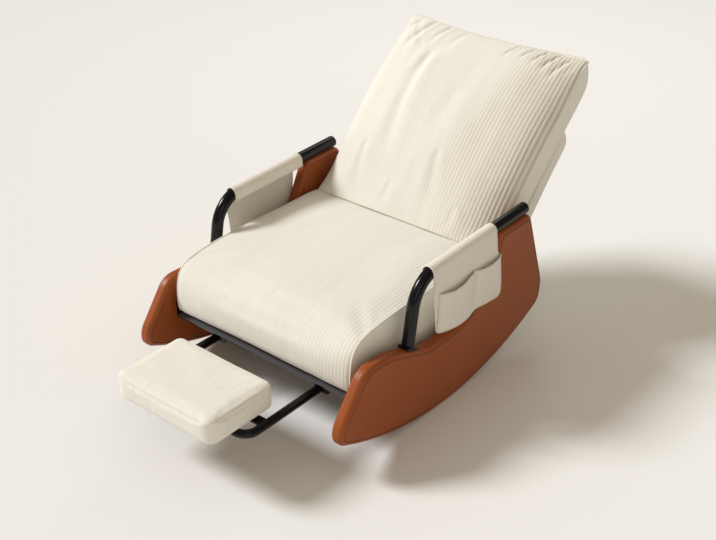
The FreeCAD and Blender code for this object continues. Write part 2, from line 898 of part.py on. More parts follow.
def recline_arm():
    # A bar from the hinge up beside the back panel, over both of its cross tubes
    half = recline_arm_width / 2
    low = back_point(0, 0, hinge_arm_inner)
    high = cross_tube_spot(back_high_tube_rise)
    high = Vector(hinge_arm_inner, high.y, high.z)
    reach = unit(high - low)
    side = Vector(0, -reach.z, reach.y)
    end = high + reach * half
    wire = chain_wire([
        (low + side * half, low - reach * half, low - side * half),
        (low - side * half, high - side * half),
        (high - side * half, end, high + side * half),
        (high + side * half, low + side * half),
    ])
    bar = slab(wire, Vector(hinge_plate_thickness, 0, 0))
    bar = bar.cut(cross_cylinder(pivot_diameter / 2 + pivot_clearance, 0, inner_half,
                                 pivot_station, pivot_height))
    return bar


# Back panel

def back_hoop_path():
    low = back_panel_bottom + back_high_tube_rise
    high = back_panel_top - back_panel_skin - back_panel_corner_radius / 2
    out = -back_panel_thickness / 2
    bend = back_hoop_bend_radius
    half = back_hoop_half_width
    ease = bend * (1 - math.sqrt(0.5))
    left = [
        panel_point(low, out, half),
        panel_point(high - bend, out, half),
        panel_point(high - ease, out, half - ease),
        panel_point(high, out, half - bend),
    ]
    right = [Vector(-p.x, p.y, p.z) for p in left]
    return [
        Part.LineSegment(left[0], left[1]).toShape(),
        Part.Arc(left[1], left[2], left[3]).toShape(),
        Part.LineSegment(left[3], right[3]).toShape(),
        Part.Arc(right[3], right[2], right[1]).toShape(),
        Part.LineSegment(right[1], right[0]).toShape(),
    ]


def back_cross_tubes():
    tubes = []
    for rise in (back_low_tube_rise, back_high_tube_rise):
        spot = cross_tube_spot(rise)
        tubes.append(cross_tube(hinge_arm_inner, spot.y, spot.z, back_tube_radius, back_tube_wall))
    return Part.makeCompound(tubes)


def back_hoop():
    hoop = swept_tube(back_hoop_path(), back_tube_radius, back_tube_wall)
    spot = cross_tube_spot(back_high_tube_rise)
    return hoop.cut(cross_cylinder(back_tube_radius, -inner_half, inner_half, spot.y, spot.z))


def panel_slab(inset, out0, out1, corner):
    # A board in the plane of the back panel
    half = back_panel_half_width - inset
    low = back_panel_bottom + inset
    high = back_panel_top - inset
    corners = [(-half, low, corner / 2), (half, low, corner / 2), (half, high, corner), (-half, high, corner)]
    wire = rounded_wire(corners, lambda x, along: panel_point(along, out0, x))
    thickness = panel_point(0, out1) - panel_point(0, out0)
    return slab(wire, thickness)


def back_panel_body():
    body = panel_slab(0, -back_panel_thickness, 0, back_panel_corner_radius)
    flat = [e for e in body.Edges if edge_on_panel_face(e)]
    return body.makeFillet(back_panel_edge_radius, flat)


def edge_on_panel_face(edge):
    normal = unit(panel_point(0, back_panel_skin) - panel_point(0, 0))
    ends = [v.Point.dot(normal) for v in edge.Vertexes]
    return len(ends) == 2 and abs(ends[0] - ends[1]) < tiny


def back_board_levels():
    # The board lies behind the tubes, on the rear half of the padding
    floor = -back_panel_thickness + back_panel_skin
    return floor, -back_panel_thickness / 2 - back_tube_radius - back_board_clearance


def back_panel_shells():
    # The padding in two hollow halves, closed round the tubes and the board
    skin = back_panel_skin
    middle = -back_panel_thickness / 2
    floor, board_front = back_board_levels()
    body = back_panel_body().cut(panel_slab(skin, floor, -skin, back_panel_corner_radius - skin))
    front_half = panel_slab(-overrun, middle, overrun, overrun)
    front = body.common(front_half)
    rear = body.cut(front_half)
    for rise in (back_low_tube_rise, back_high_tube_rise):
        spot = cross_tube_spot(rise)
        bore = cross_cylinder(back_tube_radius, -inner_half, inner_half, spot.y, spot.z)
        front = front.cut(bore)
        rear = rear.cut(bore)
    return front, rear


def back_board():
    floor, board_front = back_board_levels()
    return panel_slab(back_panel_skin, floor, board_front, back_panel_corner_radius - back_panel_skin)


def fastener_strips():
    # Hook and loop strips that fill the wedge between the cushion and the panel
    half = fastener_strip_length / 2
    strips = []
    for station in (fastener_strip_station, back_panel_top - fastener_strip_width):
        low, high = station - fastener_strip_width / 2, station + fastener_strip_width / 2
        gap = back_gap - fastener_clearance
        ends = [back_point(low, gap, -half), back_point(high, gap, -half),
                panel_point(high, 0, -half), panel_point(low, 0, -half)]
        wire = Part.makePolygon(ends + ends[:1])
        strips.append(slab(wire, Vector(fastener_strip_length, 0, 0)))
    return Part.makeCompound(strips)


# Back cushion

def back_inset(share):
    reach = abs(share)
    if reach == 1.0:
        return back_side_inset
    if reach > 0.97:
        return back_near_side_inset
    if reach > 0.9:
        return back_shoulder_inset
    return 0.0


def back_profile(share, layer=0.0):
    # One section of the cushion: flat rear, lip that rides round the seat, full front, top seam
    x = share * (back_cushion_half_width - layer)
    inset = back_inset(share) + layer
    fullness = 1 - share * share
    rear = back_gap + inset
    ride = seat_rear_radius + back_cushion_clearance + inset
    lip = back_cushion_lip_radius
    front_lip = back_side_lip + back_crown_lip * fullness - inset
    front_middle = back_side_middle + back_crown_middle * fullness - inset
    front_shoulder = back_side_shoulder + back_crown_shoulder * fullness - inset
    top = back_cushion_top + back_cushion_ear_rise * share * share - inset
    rear_top = back_cushion_rear_top - inset
    seam = back_cushion_seam - layer

    def at(along, out):
        return back_point(along, out, x)

    lip_out = front_lip - lip
    lip_along = math.sqrt((ride + lip) ** 2 - lip_out ** 2)
    turn = math.atan2(lip_out, lip_along)
    lip_start = at(ride * math.cos(turn), ride * math.sin(turn))
    lip_end = at(lip_along, front_lip)
    towards_hinge = (-math.cos(turn), -math.sin(turn))
    blend = (towards_hinge[0], towards_hinge[1] + 1)
    size = math.hypot(blend[0], blend[1])
    lip_middle = at(lip_along + lip * blend[0] / size, lip_out + lip * blend[1] / size)
    rear_turn = math.asin(rear / ride)
    rear_low = at(ride * math.cos(rear_turn), rear)
    half_turn = (turn + rear_turn) / 2
    ride_middle = at(ride * math.cos(half_turn), ride * math.sin(half_turn))
    span = top - lip_along
    middle_along = lip_along + span * back_middle_share
    shoulder_along = lip_along + span * back_shoulder_share
    return chain_wire([
        (rear_low, ride_middle, lip_start),
        (lip_start, lip_middle, lip_end),
        (lip_end, at((lip_along + middle_along) / 2, (front_lip + front_middle) / 2 + lip / 3),
         at(middle_along, front_middle)),
        (at(middle_along, front_middle),
         at((middle_along + shoulder_along) / 2, (front_middle + front_shoulder) / 2 + lip / 4),
         at(shoulder_along, front_shoulder)),
        (at(shoulder_along, front_shoulder),
         at((shoulder_along + top) / 2 + lip / 3, (front_shoulder + seam) / 2 + lip / 4), at(top, seam)),
        (at(top, seam), at(top - lip * 0.9, (seam + rear) / 2 - lip / 2), at(rear_top, rear)),
        (at(rear_top, rear), rear_low),
    ])


def back_cushion():
    body = Part.makeLoft([back_profile(share) for share in back_section_shares], True, False)
    hollow = Part.makeLoft([back_profile(share, cushion_layer) for share in back_section_shares], True, False)
    return body.cut(hollow)


# Footrest slide

def slide_path():
    half = slide_half_spacing
    bend = slide_bend_radius
    ease = bend * (1 - math.sqrt(0.5))
    at = plan_point(slide_height)
    front = crossbar_station
    left = [at(half, slide_arm_rear), at(half, front + bend), at(half - ease, front + ease),
            at(half - bend, front)]
    right = [Vector(-p.x, p.y, p.z) for p in left]
    return [
        Part.LineSegment(left[0], left[1]).toShape(),
        Part.Arc(left[1], left[2], left[3]).toShape(),
        Part.LineSegment(left[3], right[3]).toShape(),
        Part.Arc(right[3], right[2], right[1]).toShape(),
        Part.LineSegment(right[1], right[0]).toShape(),
    ]


def footrest_frame():
    return swept_tube(slide_path(), slide_radius, slide_tube_wall)


def footrest_strap():
    z = slide_height + strap_rise
    strap = box(-slide_half_spacing, slide_half_spacing,
                strap_station - strap_width / 2, strap_station + strap_width / 2,
                z - strap_thickness / 2, z + strap_thickness / 2)
    return strap.cut(swept(slide_path(), slide_radius))


def footrest_buffers():
    base = slide_height + strap_rise + strap_thickness / 2
    height = pad_bottom - buffer_gap - base
    buffers = []
    for x in (-buffer_half_spacing, buffer_half_spacing):
        buffer = Part.makeCylinder(buffer_diameter / 2, height, Vector(x, strap_station, base))
        rim = [e for e in buffer.Edges if abs(e.CenterOfMass.z - base - height) < tiny]
        buffers.append(buffer.makeFillet(height / 5, rim))
    return Part.makeCompound(buffers)


def slide_glide():
    # The plastic end of each arm, which runs in the sleeve and meets the stop pin
    bore = sleeve_radius - sleeve_wall - glide_clearance
    start = slide_arm_rear - glide_length
    ring = long_cylinder(bore, start, slide_arm_rear, slide_half_spacing, slide_height)
    ring = ring.cut(long_cylinder(slide_radius, start, slide_arm_rear, slide_half_spacing, slide_height))
    cap = long_cylinder(bore, slide_arm_rear, slide_arm_rear + bush_flange_length,
                        slide_half_spacing, slide_height)
    return ring.fuse(cap).removeSplitter()


def stop_pin_station():
    return slide_arm_rear - glide_length - stop_pin_gap - stop_pin_diameter / 2


def stop_pin():
    reach = sleeve_radius + stop_pin_diameter / 3
    tip = slide_radius + glide_clearance
    return Part.makeCylinder(stop_pin_diameter / 2, reach - tip,
                             Vector(slide_half_spacing, stop_pin_station(), slide_height - reach),
                             Vector(0, 0, 1))


def footrest_sleeve():
    sleeve = long_tube(slide_half_spacing, sleeve_front(), sleeve_rear, slide_height,
                       sleeve_radius, sleeve_wall)
    return sleeve.cut(stop_pin())


def sleeve_bush():
    # The front bush lines the sleeve's mouth, with a flange inside the hanger
    inner = slide_radius + bush_clearance
    start = sleeve_front()
    bush = long_cylinder(sleeve_radius - sleeve_wall, start, start + bush_length,
                         slide_half_spacing, slide_height)
    return bush.cut(long_cylinder(inner, start, start + bush_length, slide_half_spacing, slide_height))


def sleeve_hanger():
    # The plate that hangs the sleeve's mouth from the front bar
    start = front_bar_station + frame_radius
    half = hanger_width / 2
    low = slide_height - sleeve_radius
    corners = [
        (slide_half_spacing - half, low - frame_tube_wall, half / 3),
        (slide_half_spacing + half, low - frame_tube_wall, half / 3),
        (slide_half_spacing + half, bar_height + frame_radius / 2, frame_tube_wall),
        (slide_half_spacing - half, bar_height + frame_radius / 2, frame_tube_wall),
    ]
    wire = rounded_wire(corners, lambda x, z: Vector(x, start - frame_radius, z))
    plate = slab(wire, Vector(0, hanger_thickness + frame_radius, 0))
    plate = plate.cut(box(0, inner_half, start - 2 * frame_radius, start - hanger_thickness / 2,
                          0, bar_height + frame_tube_diameter))
    plate = plate.cut(cross_cylinder(frame_radius, 0, inner_half, front_bar_station, bar_height))
    return plate.cut(long_cylinder(slide_radius + bush_clearance, start - 2 * frame_radius,
                                   start + 2 * frame_radius, slide_half_spacing, slide_height))


# Footrest pad

def pad_section(inset, z):
    half_x = pad_half_width - inset
    half_y = pad_depth / 2 - inset
    radius = pad_corner_radius - inset * 0.4
    y = crossbar_station + pad_offset
    corners = [(-half_x, y - half_y, radius), (half_x, y - half_y, radius),
               (half_x, y + half_y, radius), (-half_x, y + half_y, radius)]
    return rounded_wire(corners, plan_point(z))


def pad_board_body(clearance):
    inset = pad_board_inset - clearance
    return slab(pad_section(inset, pad_bottom), Vector(0, 0, pad_board_thickness + clearance))


def footrest_pad():
    sections = [pad_section(inset * pad_inset_reach, pad_bottom + level * pad_height)
                for level, inset in zip(pad_level_shares, pad_inset_shares)]
    return Part.makeLoft(sections, True, False).cut(pad_board_body(0))


def clamp_screw_places():
    half = clamp_screw_spacing / 2
    return [(x, crossbar_station + step)
            for x in (-clamp_half_spacing, clamp_half_spacing)
            for step in (-half, half)]


def clamp_screw_cutter(x, y):
    return Part.makeCylinder(clamp_screw_diameter / 2, pad_board_thickness * 2,
                             Vector(x, y, pad_bottom - pad_board_thickness))


def footrest_board():
    board = pad_board_body(0)
    for x, y in clamp_screw_places():
        board = board.cut(clamp_screw_cutter(x, y))
    return board


def footrest_clamps():
    # Saddle clips: a ring round the crossbar with two feet screwed to the board
    clamps = []
    ring_radius = slide_radius + clamp_clearance + clamp_wall
    foot_height = clamp_wall
    foot_half = clamp_screw_spacing / 2 + clamp_screw_diameter * 1.4
    for x in (-clamp_half_spacing, clamp_half_spacing):
        x0, x1 = x - clamp_width / 2, x + clamp_width / 2
        ring = cross_cylinder(ring_radius, x0, x1, crossbar_station, crossbar_height)
        neck = box(x0, x1, crossbar_station - ring_radius, crossbar_station + ring_radius,
                   crossbar_height, pad_bottom)
        foot = box(x0, x1, crossbar_station - foot_half, crossbar_station + foot_half,
                   pad_bottom - foot_height, pad_bottom)
        clip = ring.fuse(neck).fuse(foot).removeSplitter()
        clip = clip.cut(cross_cylinder(slide_radius + clamp_clearance, x0, x1,
                                       crossbar_station, crossbar_height))
        for sx, sy in clamp_screw_places():
            clip = clip.cut(clamp_screw_cutter(sx, sy))
        clamps.append(clip)
    return Part.makeCompound(clamps)


def clamp_screws():
    screws = []
    for x, y in clamp_screw_places():
        base = pad_bottom - clamp_wall
        shank = Part.makeCylinder(clamp_screw_diameter / 2, clamp_wall + pad_board_thickness - tiny,
                                  Vector(x, y, base))
        head = Part.makeCylinder(clamp_screw_diameter, clamp_screw_head_height,
                                 Vector(x, y, base - clamp_screw_head_height))
        screws.append(shank.fuse(head).removeSplitter())
    return Part.makeCompound(screws)


# Putting the chair together

def both_sides(name, shape):
    # The sitter's left is +X
    return {name + "_left": shape, name + "_right": mirrored(shape)}


def chair():
    nodes = {}
    for name, shape in panel_parts().items():
        nodes.update(both_sides(name, shape))
    for name, shape in arm_parts().items():
        nodes.update(both_sides(name, shape))
    nodes.update(both_sides("arm_cover", arm_cover()))
    nodes.update(both_sides("arm_pocket", arm_pocket()))
    front, middle, rear = cross_bars()
    nodes["seat_front_bar"] = front
    nodes["seat_middle_bar"] = middle
    nodes["seat_rear_bar"] = rear
    nodes["seat_front_rails"] = side_rails(front_bar_station, middle_bar_station)
    nodes["seat_rear_rails"] = side_rails(middle_bar_station, rear_bar_station)
    plates = [mount_plate(front_bar_station), mount_plate(middle_bar_station)]
    nodes["seat_mount_plates"] = Part.makeCompound(plates + [mirrored(plate) for plate in plates])
    bolts = mount_bolts()
    nodes["seat_mount_bolts"] = Part.makeCompound(bolts + [mirrored(bolt) for bolt in bolts])
    nodes["seat_long_webbing"] = long_webbing()
    nodes["seat_cross_webbing"] = cross_webbing()
    nodes["seat_cushion"] = seat_cushion()
    nodes.update(both_sides("hinge_plate", hinge_plate()))
    nodes.update(both_sides("hinge_rivet", pivot_rivet()))
    nodes.update(both_sides("recline_arm", recline_arm()))
    nodes["back_cross_tubes"] = back_cross_tubes()
    nodes["back_hoop"] = back_hoop()
    nodes["back_panel_front"], nodes["back_panel_rear"] = back_panel_shells()
    nodes["back_board"] = back_board()
    nodes["back_fastener_strips"] = fastener_strips()
    nodes["back_cushion"] = back_cushion()
    nodes["footrest_frame"] = footrest_frame()
    nodes["footrest_strap"] = footrest_strap()
    nodes["footrest_buffers"] = footrest_buffers()
    for name, shape in (("hinge_washers", hinge_washer()), ("footrest_glides", slide_glide()),
                        ("footrest_stop_pins", stop_pin()),
                        ("footrest_sleeves", footrest_sleeve()), ("footrest_bushes", sleeve_bush()),
                        ("footrest_hangers", sleeve_hanger())):
        nodes[name] = Part.makeCompound([shape, mirrored(shape)])
    nodes["footrest_pad"] = footrest_pad()
    nodes["footrest_board"] = footrest_board()
    nodes["footrest_clamps"] = footrest_clamps()
    nodes["footrest_clamp_screws"] = clamp_screws()
    return nodes


def main():
    os.makedirs("parts", exist_ok=True)
    nodes = chair()
    for name, shape in nodes.items():
        shape.exportStep(os.path.join("parts", name + ".step"))
        bounds = shape.BoundBox
        print("%-28s solids %2d valid %s volume %9.0f  x %7.1f %7.1f  y %7.1f %7.1f  z %6.1f %6.1f" % (
            name, len(shape.Solids), shape.isValid(), shape.Volume, bounds.XMin, bounds.XMax,
            bounds.YMin, bounds.YMax, bounds.ZMin, bounds.ZMax))
    print("nodes", len(nodes))


main()
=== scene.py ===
import math
from functools import partial

import bmesh
import bpy
import numpy as np
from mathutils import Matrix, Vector


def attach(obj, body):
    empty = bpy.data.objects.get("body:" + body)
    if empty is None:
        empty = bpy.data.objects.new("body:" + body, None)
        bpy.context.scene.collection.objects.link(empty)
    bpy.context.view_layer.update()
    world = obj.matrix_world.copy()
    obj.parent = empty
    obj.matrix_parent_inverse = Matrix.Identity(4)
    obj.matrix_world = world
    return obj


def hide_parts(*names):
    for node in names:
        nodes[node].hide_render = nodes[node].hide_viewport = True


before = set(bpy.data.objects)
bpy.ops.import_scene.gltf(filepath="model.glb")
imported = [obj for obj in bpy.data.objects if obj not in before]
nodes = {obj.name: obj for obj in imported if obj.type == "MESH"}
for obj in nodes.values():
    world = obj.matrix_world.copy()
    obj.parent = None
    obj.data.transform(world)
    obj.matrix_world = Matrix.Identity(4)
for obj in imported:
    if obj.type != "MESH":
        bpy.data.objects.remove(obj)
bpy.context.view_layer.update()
print("frame loaded,", len(nodes), "nodes")


def mm(value):
    return value / 1000.0


def smoothStep(t):
    t = np.clip(t, 0.0, 1.0)
    return t * t * (3 - 2 * t)


def addObject(name, data):
    piece = bpy.data.objects.new(name, data)
    bpy.context.scene.collection.objects.link(piece)
    return piece


def makeMesh(name, points, faces, uvs=None):
    # points in metres in the chair's frame, uvs one list of corners per face
    mesh = bpy.data.meshes.new(name)
    mesh.from_pydata([tuple(p) for p in points], [], faces)
    if uvs is not None:
        layer = mesh.uv_layers.new(name="clothUV")
        flat = np.array([corner for face in uvs for corner in face], np.float32)
        layer.data.foreach_set("uv", flat.ravel())
    mesh.validate()
    mesh.update()
    mesh.polygons.foreach_set("use_smooth", [True] * len(mesh.polygons))
    return addObject(name, mesh)


def facesOutwards(piece):
    work = bmesh.new()
    work.from_mesh(piece.data)
    bmesh.ops.recalc_face_normals(work, faces=work.faces)
    work.to_mesh(piece.data)
    work.free()


def takeShape(piece):
    # the evaluated mesh becomes the piece's own, and its modifiers go
    graph = bpy.context.evaluated_depsgraph_get()
    graph.update()
    mesh = bpy.data.meshes.new_from_object(
        piece.evaluated_get(graph), preserve_all_data_layers=True, depsgraph=graph)
    old = piece.data
    piece.modifiers.clear()
    piece.data = mesh
    if old.users == 0:
        bpy.data.meshes.remove(old)
    mesh.name = piece.name


def readVectors(items, key):
    values = np.zeros(len(items) * 3, np.float32)
    items.foreach_get(key, values)
    return values.reshape(-1, 3).astype(float)


def coordinates(piece):
    return readVectors(piece.data.vertices, "co")


def vertexNormals(piece):
    return readVectors(piece.data.vertex_normals, "vector")


def setCoordinates(piece, points):
    piece.data.vertices.foreach_set("co", np.asarray(points, np.float32).ravel())
    piece.data.update()


def pushOut(piece, points, normals, distance):
    setCoordinates(piece, points + normals * distance[:, None])


def dress(piece, material, body):
    if material.name not in [m.name for m in piece.data.materials if m]:
        piece.data.materials.clear()
        piece.data.materials.append(material)
    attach(piece, body)
    return piece


def softNoise(points, scale, seed, waves=7):
    # a smooth sum of waves, the same at each run
    rng = np.random.default_rng(seed)
    total = np.zeros(len(points))
    for _ in range(waves):
        direction = rng.normal(size=3)
        direction /= np.linalg.norm(direction)
        pace = 2 * math.pi / scale * rng.uniform(0.6, 1.5)
        total += np.sin(points @ direction * pace + rng.uniform(0, 6.28))
    return total / waves ** 0.5


def runLengths(line):
    # the distance along a line up to each of its points
    return np.concatenate([[0], np.cumsum(np.linalg.norm(np.diff(line, axis=0), axis=1))])


def throughPoints(points, count, fine=24):
    # evenly spaced points on a smooth line through the given ones
    pts = np.array(points, float)
    ext = np.vstack([2 * pts[0] - pts[1], pts, 2 * pts[-1] - pts[-2]])
    line = []
    for i in range(1, len(ext) - 2):
        p0, p1, p2, p3 = ext[i - 1:i + 3]
        t0, t1 = 0.0, np.linalg.norm(p1 - p0) ** 0.5
        t2 = t1 + np.linalg.norm(p2 - p1) ** 0.5
        t3 = t2 + np.linalg.norm(p3 - p2) ** 0.5
        for t in np.linspace(t1, t2, fine, endpoint=False):
            a1 = (t1 - t) / (t1 - t0) * p0 + (t - t0) / (t1 - t0) * p1
            a2 = (t2 - t) / (t2 - t1) * p1 + (t - t1) / (t2 - t1) * p2
            a3 = (t3 - t) / (t3 - t2) * p2 + (t - t2) / (t3 - t2) * p3
            b1 = (t2 - t) / (t2 - t0) * a1 + (t - t0) / (t2 - t0) * a2
            b2 = (t3 - t) / (t3 - t1) * a2 + (t - t1) / (t3 - t1) * a3
            line.append((t2 - t) / (t2 - t1) * b1 + (t - t1) / (t2 - t1) * b2)
    line.append(pts[-1])
    line = np.array(line)
    steps = runLengths(line)
    wanted = np.linspace(0, steps[-1], count)
    return np.stack([np.interp(wanted, steps, line[:, k]) for k in range(line.shape[1])], 1)


def feed(tree, value, socket):
    # a socket takes a link or a value
    if hasattr(value, "links"):
        tree.links.new(value, socket)
    else:
        socket.default_value = value


def addNode(tree, kind, sockets=None, **settings):
    node = tree.nodes.new(kind)
    for key, value in settings.items():
        setattr(node, key, value)
    for key, value in (sockets or {}).items():
        feed(tree, value, node.inputs[key])
    return node


cameraSet = {
    "place": (1.8268, -2.1649, 1.8936),
    "aim": (-0.5526, 0.6656, -0.5015),
    "lens": 62.02,
    "sensor": 36.0,
    "reach": 60.0,
}
stageSet = {
    "floorHalf": 14.0,
    "floorColor": (0.84, 0.845, 0.835, 1.0),
    "floorRough": 0.9,
    "floorSpecular": 0.2,
    "worldStrength": 0.40,
    "worldColor": (1.0, 0.87, 0.69, 1.0),
    "glossStrength": 0.16,
    "backColor": (0.78, 0.785, 0.755, 1.0),
    "lampAim": (0.0, 0.0, 0.3),
    # kind, place, power, size (an angle for the sun), colour
    "lamps": {
        "windowLight": ("SUN", (-2.6, -1.3, 2.7), 2.85, math.radians(16.0), (0.985, 0.99, 1.0)),
        "softFill": ("AREA", (2.6, -2.4, 2.2), 14.0, 2.6, (1.0, 0.91, 0.79)),
        "backLight": ("AREA", (-1.2, 2.6, 2.4), 10.0, 1.4, (1.0, 0.97, 0.93)),
    },
}


def addCamera(s):
    data = bpy.data.cameras.new("photoCamera")
    data.lens = s["lens"]
    data.sensor_width = s["sensor"]
    data.clip_end = s["reach"]
    camera = addObject("photoCamera", data)
    camera.location = s["place"]
    camera.rotation_euler = Vector(s["aim"]).to_track_quat("-Z", "Y").to_euler()
    bpy.context.scene.camera = camera


def addLamp(name, aim, kind, place, power, size, color):
    data = bpy.data.lights.new(name, kind)
    data.energy = power
    data.color = color
    if kind == "SUN":
        data.angle = size
    else:
        data.shape = "DISK"
        data.size = size
    lamp = addObject(name, data)
    lamp.location = place
    lamp.rotation_euler = (Vector(aim) - Vector(place)).to_track_quat("-Z", "Y").to_euler()


def newMaterialTree(name):
    material = bpy.data.materials.new(name)
    material.use_nodes = True
    return material.node_tree


def addFloor(s):
    half = s["floorHalf"]
    floor = makeMesh("studioFloor", [(-half, -half, 0), (half, -half, 0), (half, half, 0), (-half, half, 0)],
                     [(0, 1, 2, 3)])
    tree = newMaterialTree("studioFloor")
    shader = tree.nodes["Principled BSDF"].inputs
    shader["Base Color"].default_value = s["floorColor"]
    shader["Roughness"].default_value = s["floorRough"]
    shader["Specular IOR Level"].default_value = s["floorSpecular"]
    floor.data.materials.append(bpy.data.materials["studioFloor"])


def addWorld(s):
    # the camera sees a plain wall, and a dim room in reflections keeps black paint black
    world = bpy.data.worlds.new("studioWorld")
    bpy.context.scene.world = world
    world.use_nodes = True
    tree = world.node_tree
    tree.nodes.clear()
    light, gloss, seen = [
        addNode(tree, "ShaderNodeBackground", {"Color": color, "Strength": strength}).outputs["Background"]
        for color, strength in ((s["worldColor"], s["worldStrength"]), (s["worldColor"], s["glossStrength"]),
                                (s["backColor"], 1.0))]
    path = addNode(tree, "ShaderNodeLightPath").outputs
    shine = addNode(tree, "ShaderNodeMixShader", {"Fac": path["Is Glossy Ray"], 1: light, 2: gloss})
    mix = addNode(tree, "ShaderNodeMixShader",
                  {"Fac": path["Is Camera Ray"], 1: shine.outputs["Shader"], 2: seen})
    addNode(tree, "ShaderNodeOutputWorld", {"Surface": mix.outputs["Shader"]})


addCamera(cameraSet)
addFloor(stageSet)
addWorld(stageSet)
for lampName, lampValues in stageSet["lamps"].items():
    addLamp(lampName, stageSet["lampAim"], *lampValues)
bpy.context.scene.view_settings.view_transform = "Standard"
print("stage ready")


def mathNode(tree, operation, *values, clamp=False):
    sockets = dict(enumerate(values))
    return addNode(tree, "ShaderNodeMath", sockets, operation=operation, use_clamp=clamp).outputs[0]


def mathWords(tree):
    return [partial(mathNode, tree, word) for word in ("MULTIPLY", "ADD", "SUBTRACT")]


def mixColor(tree, factor, a, b):
    return addNode(tree, "ShaderNodeMix", {0: factor, 6: a, 7: b}, data_type="RGBA").outputs[2]


def noiseNode(tree, vector, scale, detail=2.0, rough=0.5):
    sockets = {"Vector": vector, "Scale": scale, "Detail": detail, "Roughness": rough}
    return addNode(tree, "ShaderNodeTexNoise", sockets).outputs["Fac"]


def scaledVector(tree, vector, *scale):
    return addNode(tree, "ShaderNodeVectorMath", {0: vector, 1: scale}, operation="MULTIPLY").outputs[0]


def newTree(name, kind, inputs, outputs):
    # sockets: label, kind and a value where there is one; returns the tree, its inputs and its outputs
    tree = bpy.data.node_groups.new(name, kind + "NodeTree")
    for direction, sockets in (("INPUT", inputs), ("OUTPUT", outputs)):
        for label, socketKind, *value in sockets:
            socket = tree.interface.new_socket(
                name=label, in_out=direction, socket_type="NodeSocket" + socketKind)
            if value:
                socket.default_value = value[0]
    return tree, tree.nodes.new("NodeGroupInput").outputs, tree.nodes.new("NodeGroupOutput").inputs


surfaceOutputs = (("Color", "Color"), ("Roughness", "Float"), ("Height", "Float"))
weaveSet = {
    "slub": (420.0, 26.0, 1.0),
    "streak": (90.0, 5.0, 1.0),
    "patch": (6.0, 4.0, 1.0),
    "warpPitch": 0.0011,
    "weftPitch": 0.0014,
    "ribPower": 0.4,
    "streakShade": 0.30,
    "slubShade": 0.14,
}


def buildRibbedCloth(s):
    # ribs run along v, pitch in metres, with slubs along them and a fine weave; the Shade colour is painted
    # shade in the rib grooves and also the real darker tone of streaks and slubs
    tree, inp, out = newTree("ribbedCloth", "Shader", (
        ("Cloth UV", "Vector"), ("Base", "Color", (0.8, 0.78, 0.7, 1)),
        ("Shade", "Color", (0.6, 0.55, 0.45, 1)),
        ("Rib Pitch", "Float", 0.0065), ("Rib Shade", "Float", 0.25), ("Rib Height", "Float", 0.8),
        ("Weave Height", "Float", 0.15), ("Rib Amount", "Float", 1.0)), surfaceOutputs)
    times, plus, minus = mathWords(tree)
    uv = inp["Cloth UV"]
    split = addNode(tree, "ShaderNodeSeparateXYZ", {0: uv}).outputs
    u, v = split["X"], split["Y"]
    phase = times(mathNode(tree, "DIVIDE", u, inp["Rib Pitch"]), 2 * math.pi)
    wave = mathNode(tree, "MULTIPLY_ADD", mathNode(tree, "SINE", phase), 0.5, 0.5)
    rib = mathNode(tree, "POWER", wave, s["ribPower"])
    slub = noiseNode(tree, scaledVector(tree, uv, *s["slub"]), 1.0, 2.0, 0.6)
    streak = noiseNode(tree, scaledVector(tree, uv, *s["streak"]), 1.0, 3.0, 0.55)
    patch = noiseNode(tree, scaledVector(tree, uv, *s["patch"]), 1.0, 2.0)
    warp = mathNode(tree, "SINE", times(u, 2 * math.pi / s["warpPitch"]))
    weft = mathNode(tree, "SINE", times(v, 2 * math.pi / s["weftPitch"]))
    weave = times(times(warp, weft), 0.5)
    strength = times(mathNode(tree, "MULTIPLY_ADD", patch, 0.9, 0.25), inp["Rib Amount"])
    # painted shade: the grooves between the ribs are darkened towards the Shade colour
    paintedGrooveShade = times(times(minus(1.0, rib), strength), inp["Rib Shade"])
    streaks = times(minus(streak, 0.42), 0.9, clamp=True)
    total = plus(paintedGrooveShade, times(streaks, s["streakShade"]), clamp=True)
    total = plus(total, times(minus(slub, 0.5), s["slubShade"]), clamp=True)
    feed(tree, mixColor(tree, total, inp["Base"], inp["Shade"]), out["Color"])
    feed(tree, mathNode(tree, "MULTIPLY_ADD", slub, 0.12, 0.80), out["Roughness"])
    ribs = times(times(rib, strength), inp["Rib Height"])
    feed(tree, plus(ribs, times(plus(weave, slub), inp["Weave Height"])), out["Height"])
    return tree


grainSet = {
    "pores": 900.0,
    "slow": 5.0,
    "mottle": 46.0,
    "mottleShade": 0.16,
    "cellShade": 0.10,
    "seamShade": 0.75,
}


def buildGrain(s):
    # leather pebbles, pores and slow changes of tone on object coordinates
    tree, inp, out = newTree("leatherGrain", "Shader", (
        ("Position", "Vector"), ("Base", "Color", (0.3, 0.1, 0.05, 1)),
        ("Deep", "Color", (0.1, 0.03, 0.01, 1)),
        ("Grain Scale", "Float", 420.0), ("Seam", "Float", 0.0), ("Gloss", "Float", 0.42)), surfaceOutputs)
    times, plus, minus = mathWords(tree)
    place = inp["Position"]
    cells = addNode(tree, "ShaderNodeTexVoronoi", {"Vector": place, "Scale": inp["Grain Scale"]},
                    feature="SMOOTH_F1")
    cell = cells.outputs["Distance"]
    pores = noiseNode(tree, place, s["pores"], 2.0, 0.6)
    slow = noiseNode(tree, place, s["slow"], 3.0, 0.5)
    mottle = noiseNode(tree, place, s["mottle"], 3.0, 0.6)
    dark = times(minus(0.62, slow), 0.5, clamp=True)
    for shade in (times(minus(mottle, 0.5), s["mottleShade"]), times(cell, s["cellShade"]),
                  times(inp["Seam"], s["seamShade"])):
        dark = plus(dark, shade, clamp=True)
    feed(tree, mixColor(tree, dark, inp["Base"], inp["Deep"]), out["Color"])
    feed(tree, plus(inp["Gloss"], times(minus(pores, 0.5), 0.18)), out["Roughness"])
    feed(tree, plus(times(minus(1.0, cell), 0.6), times(pores, 0.25)), out["Height"])
    return tree


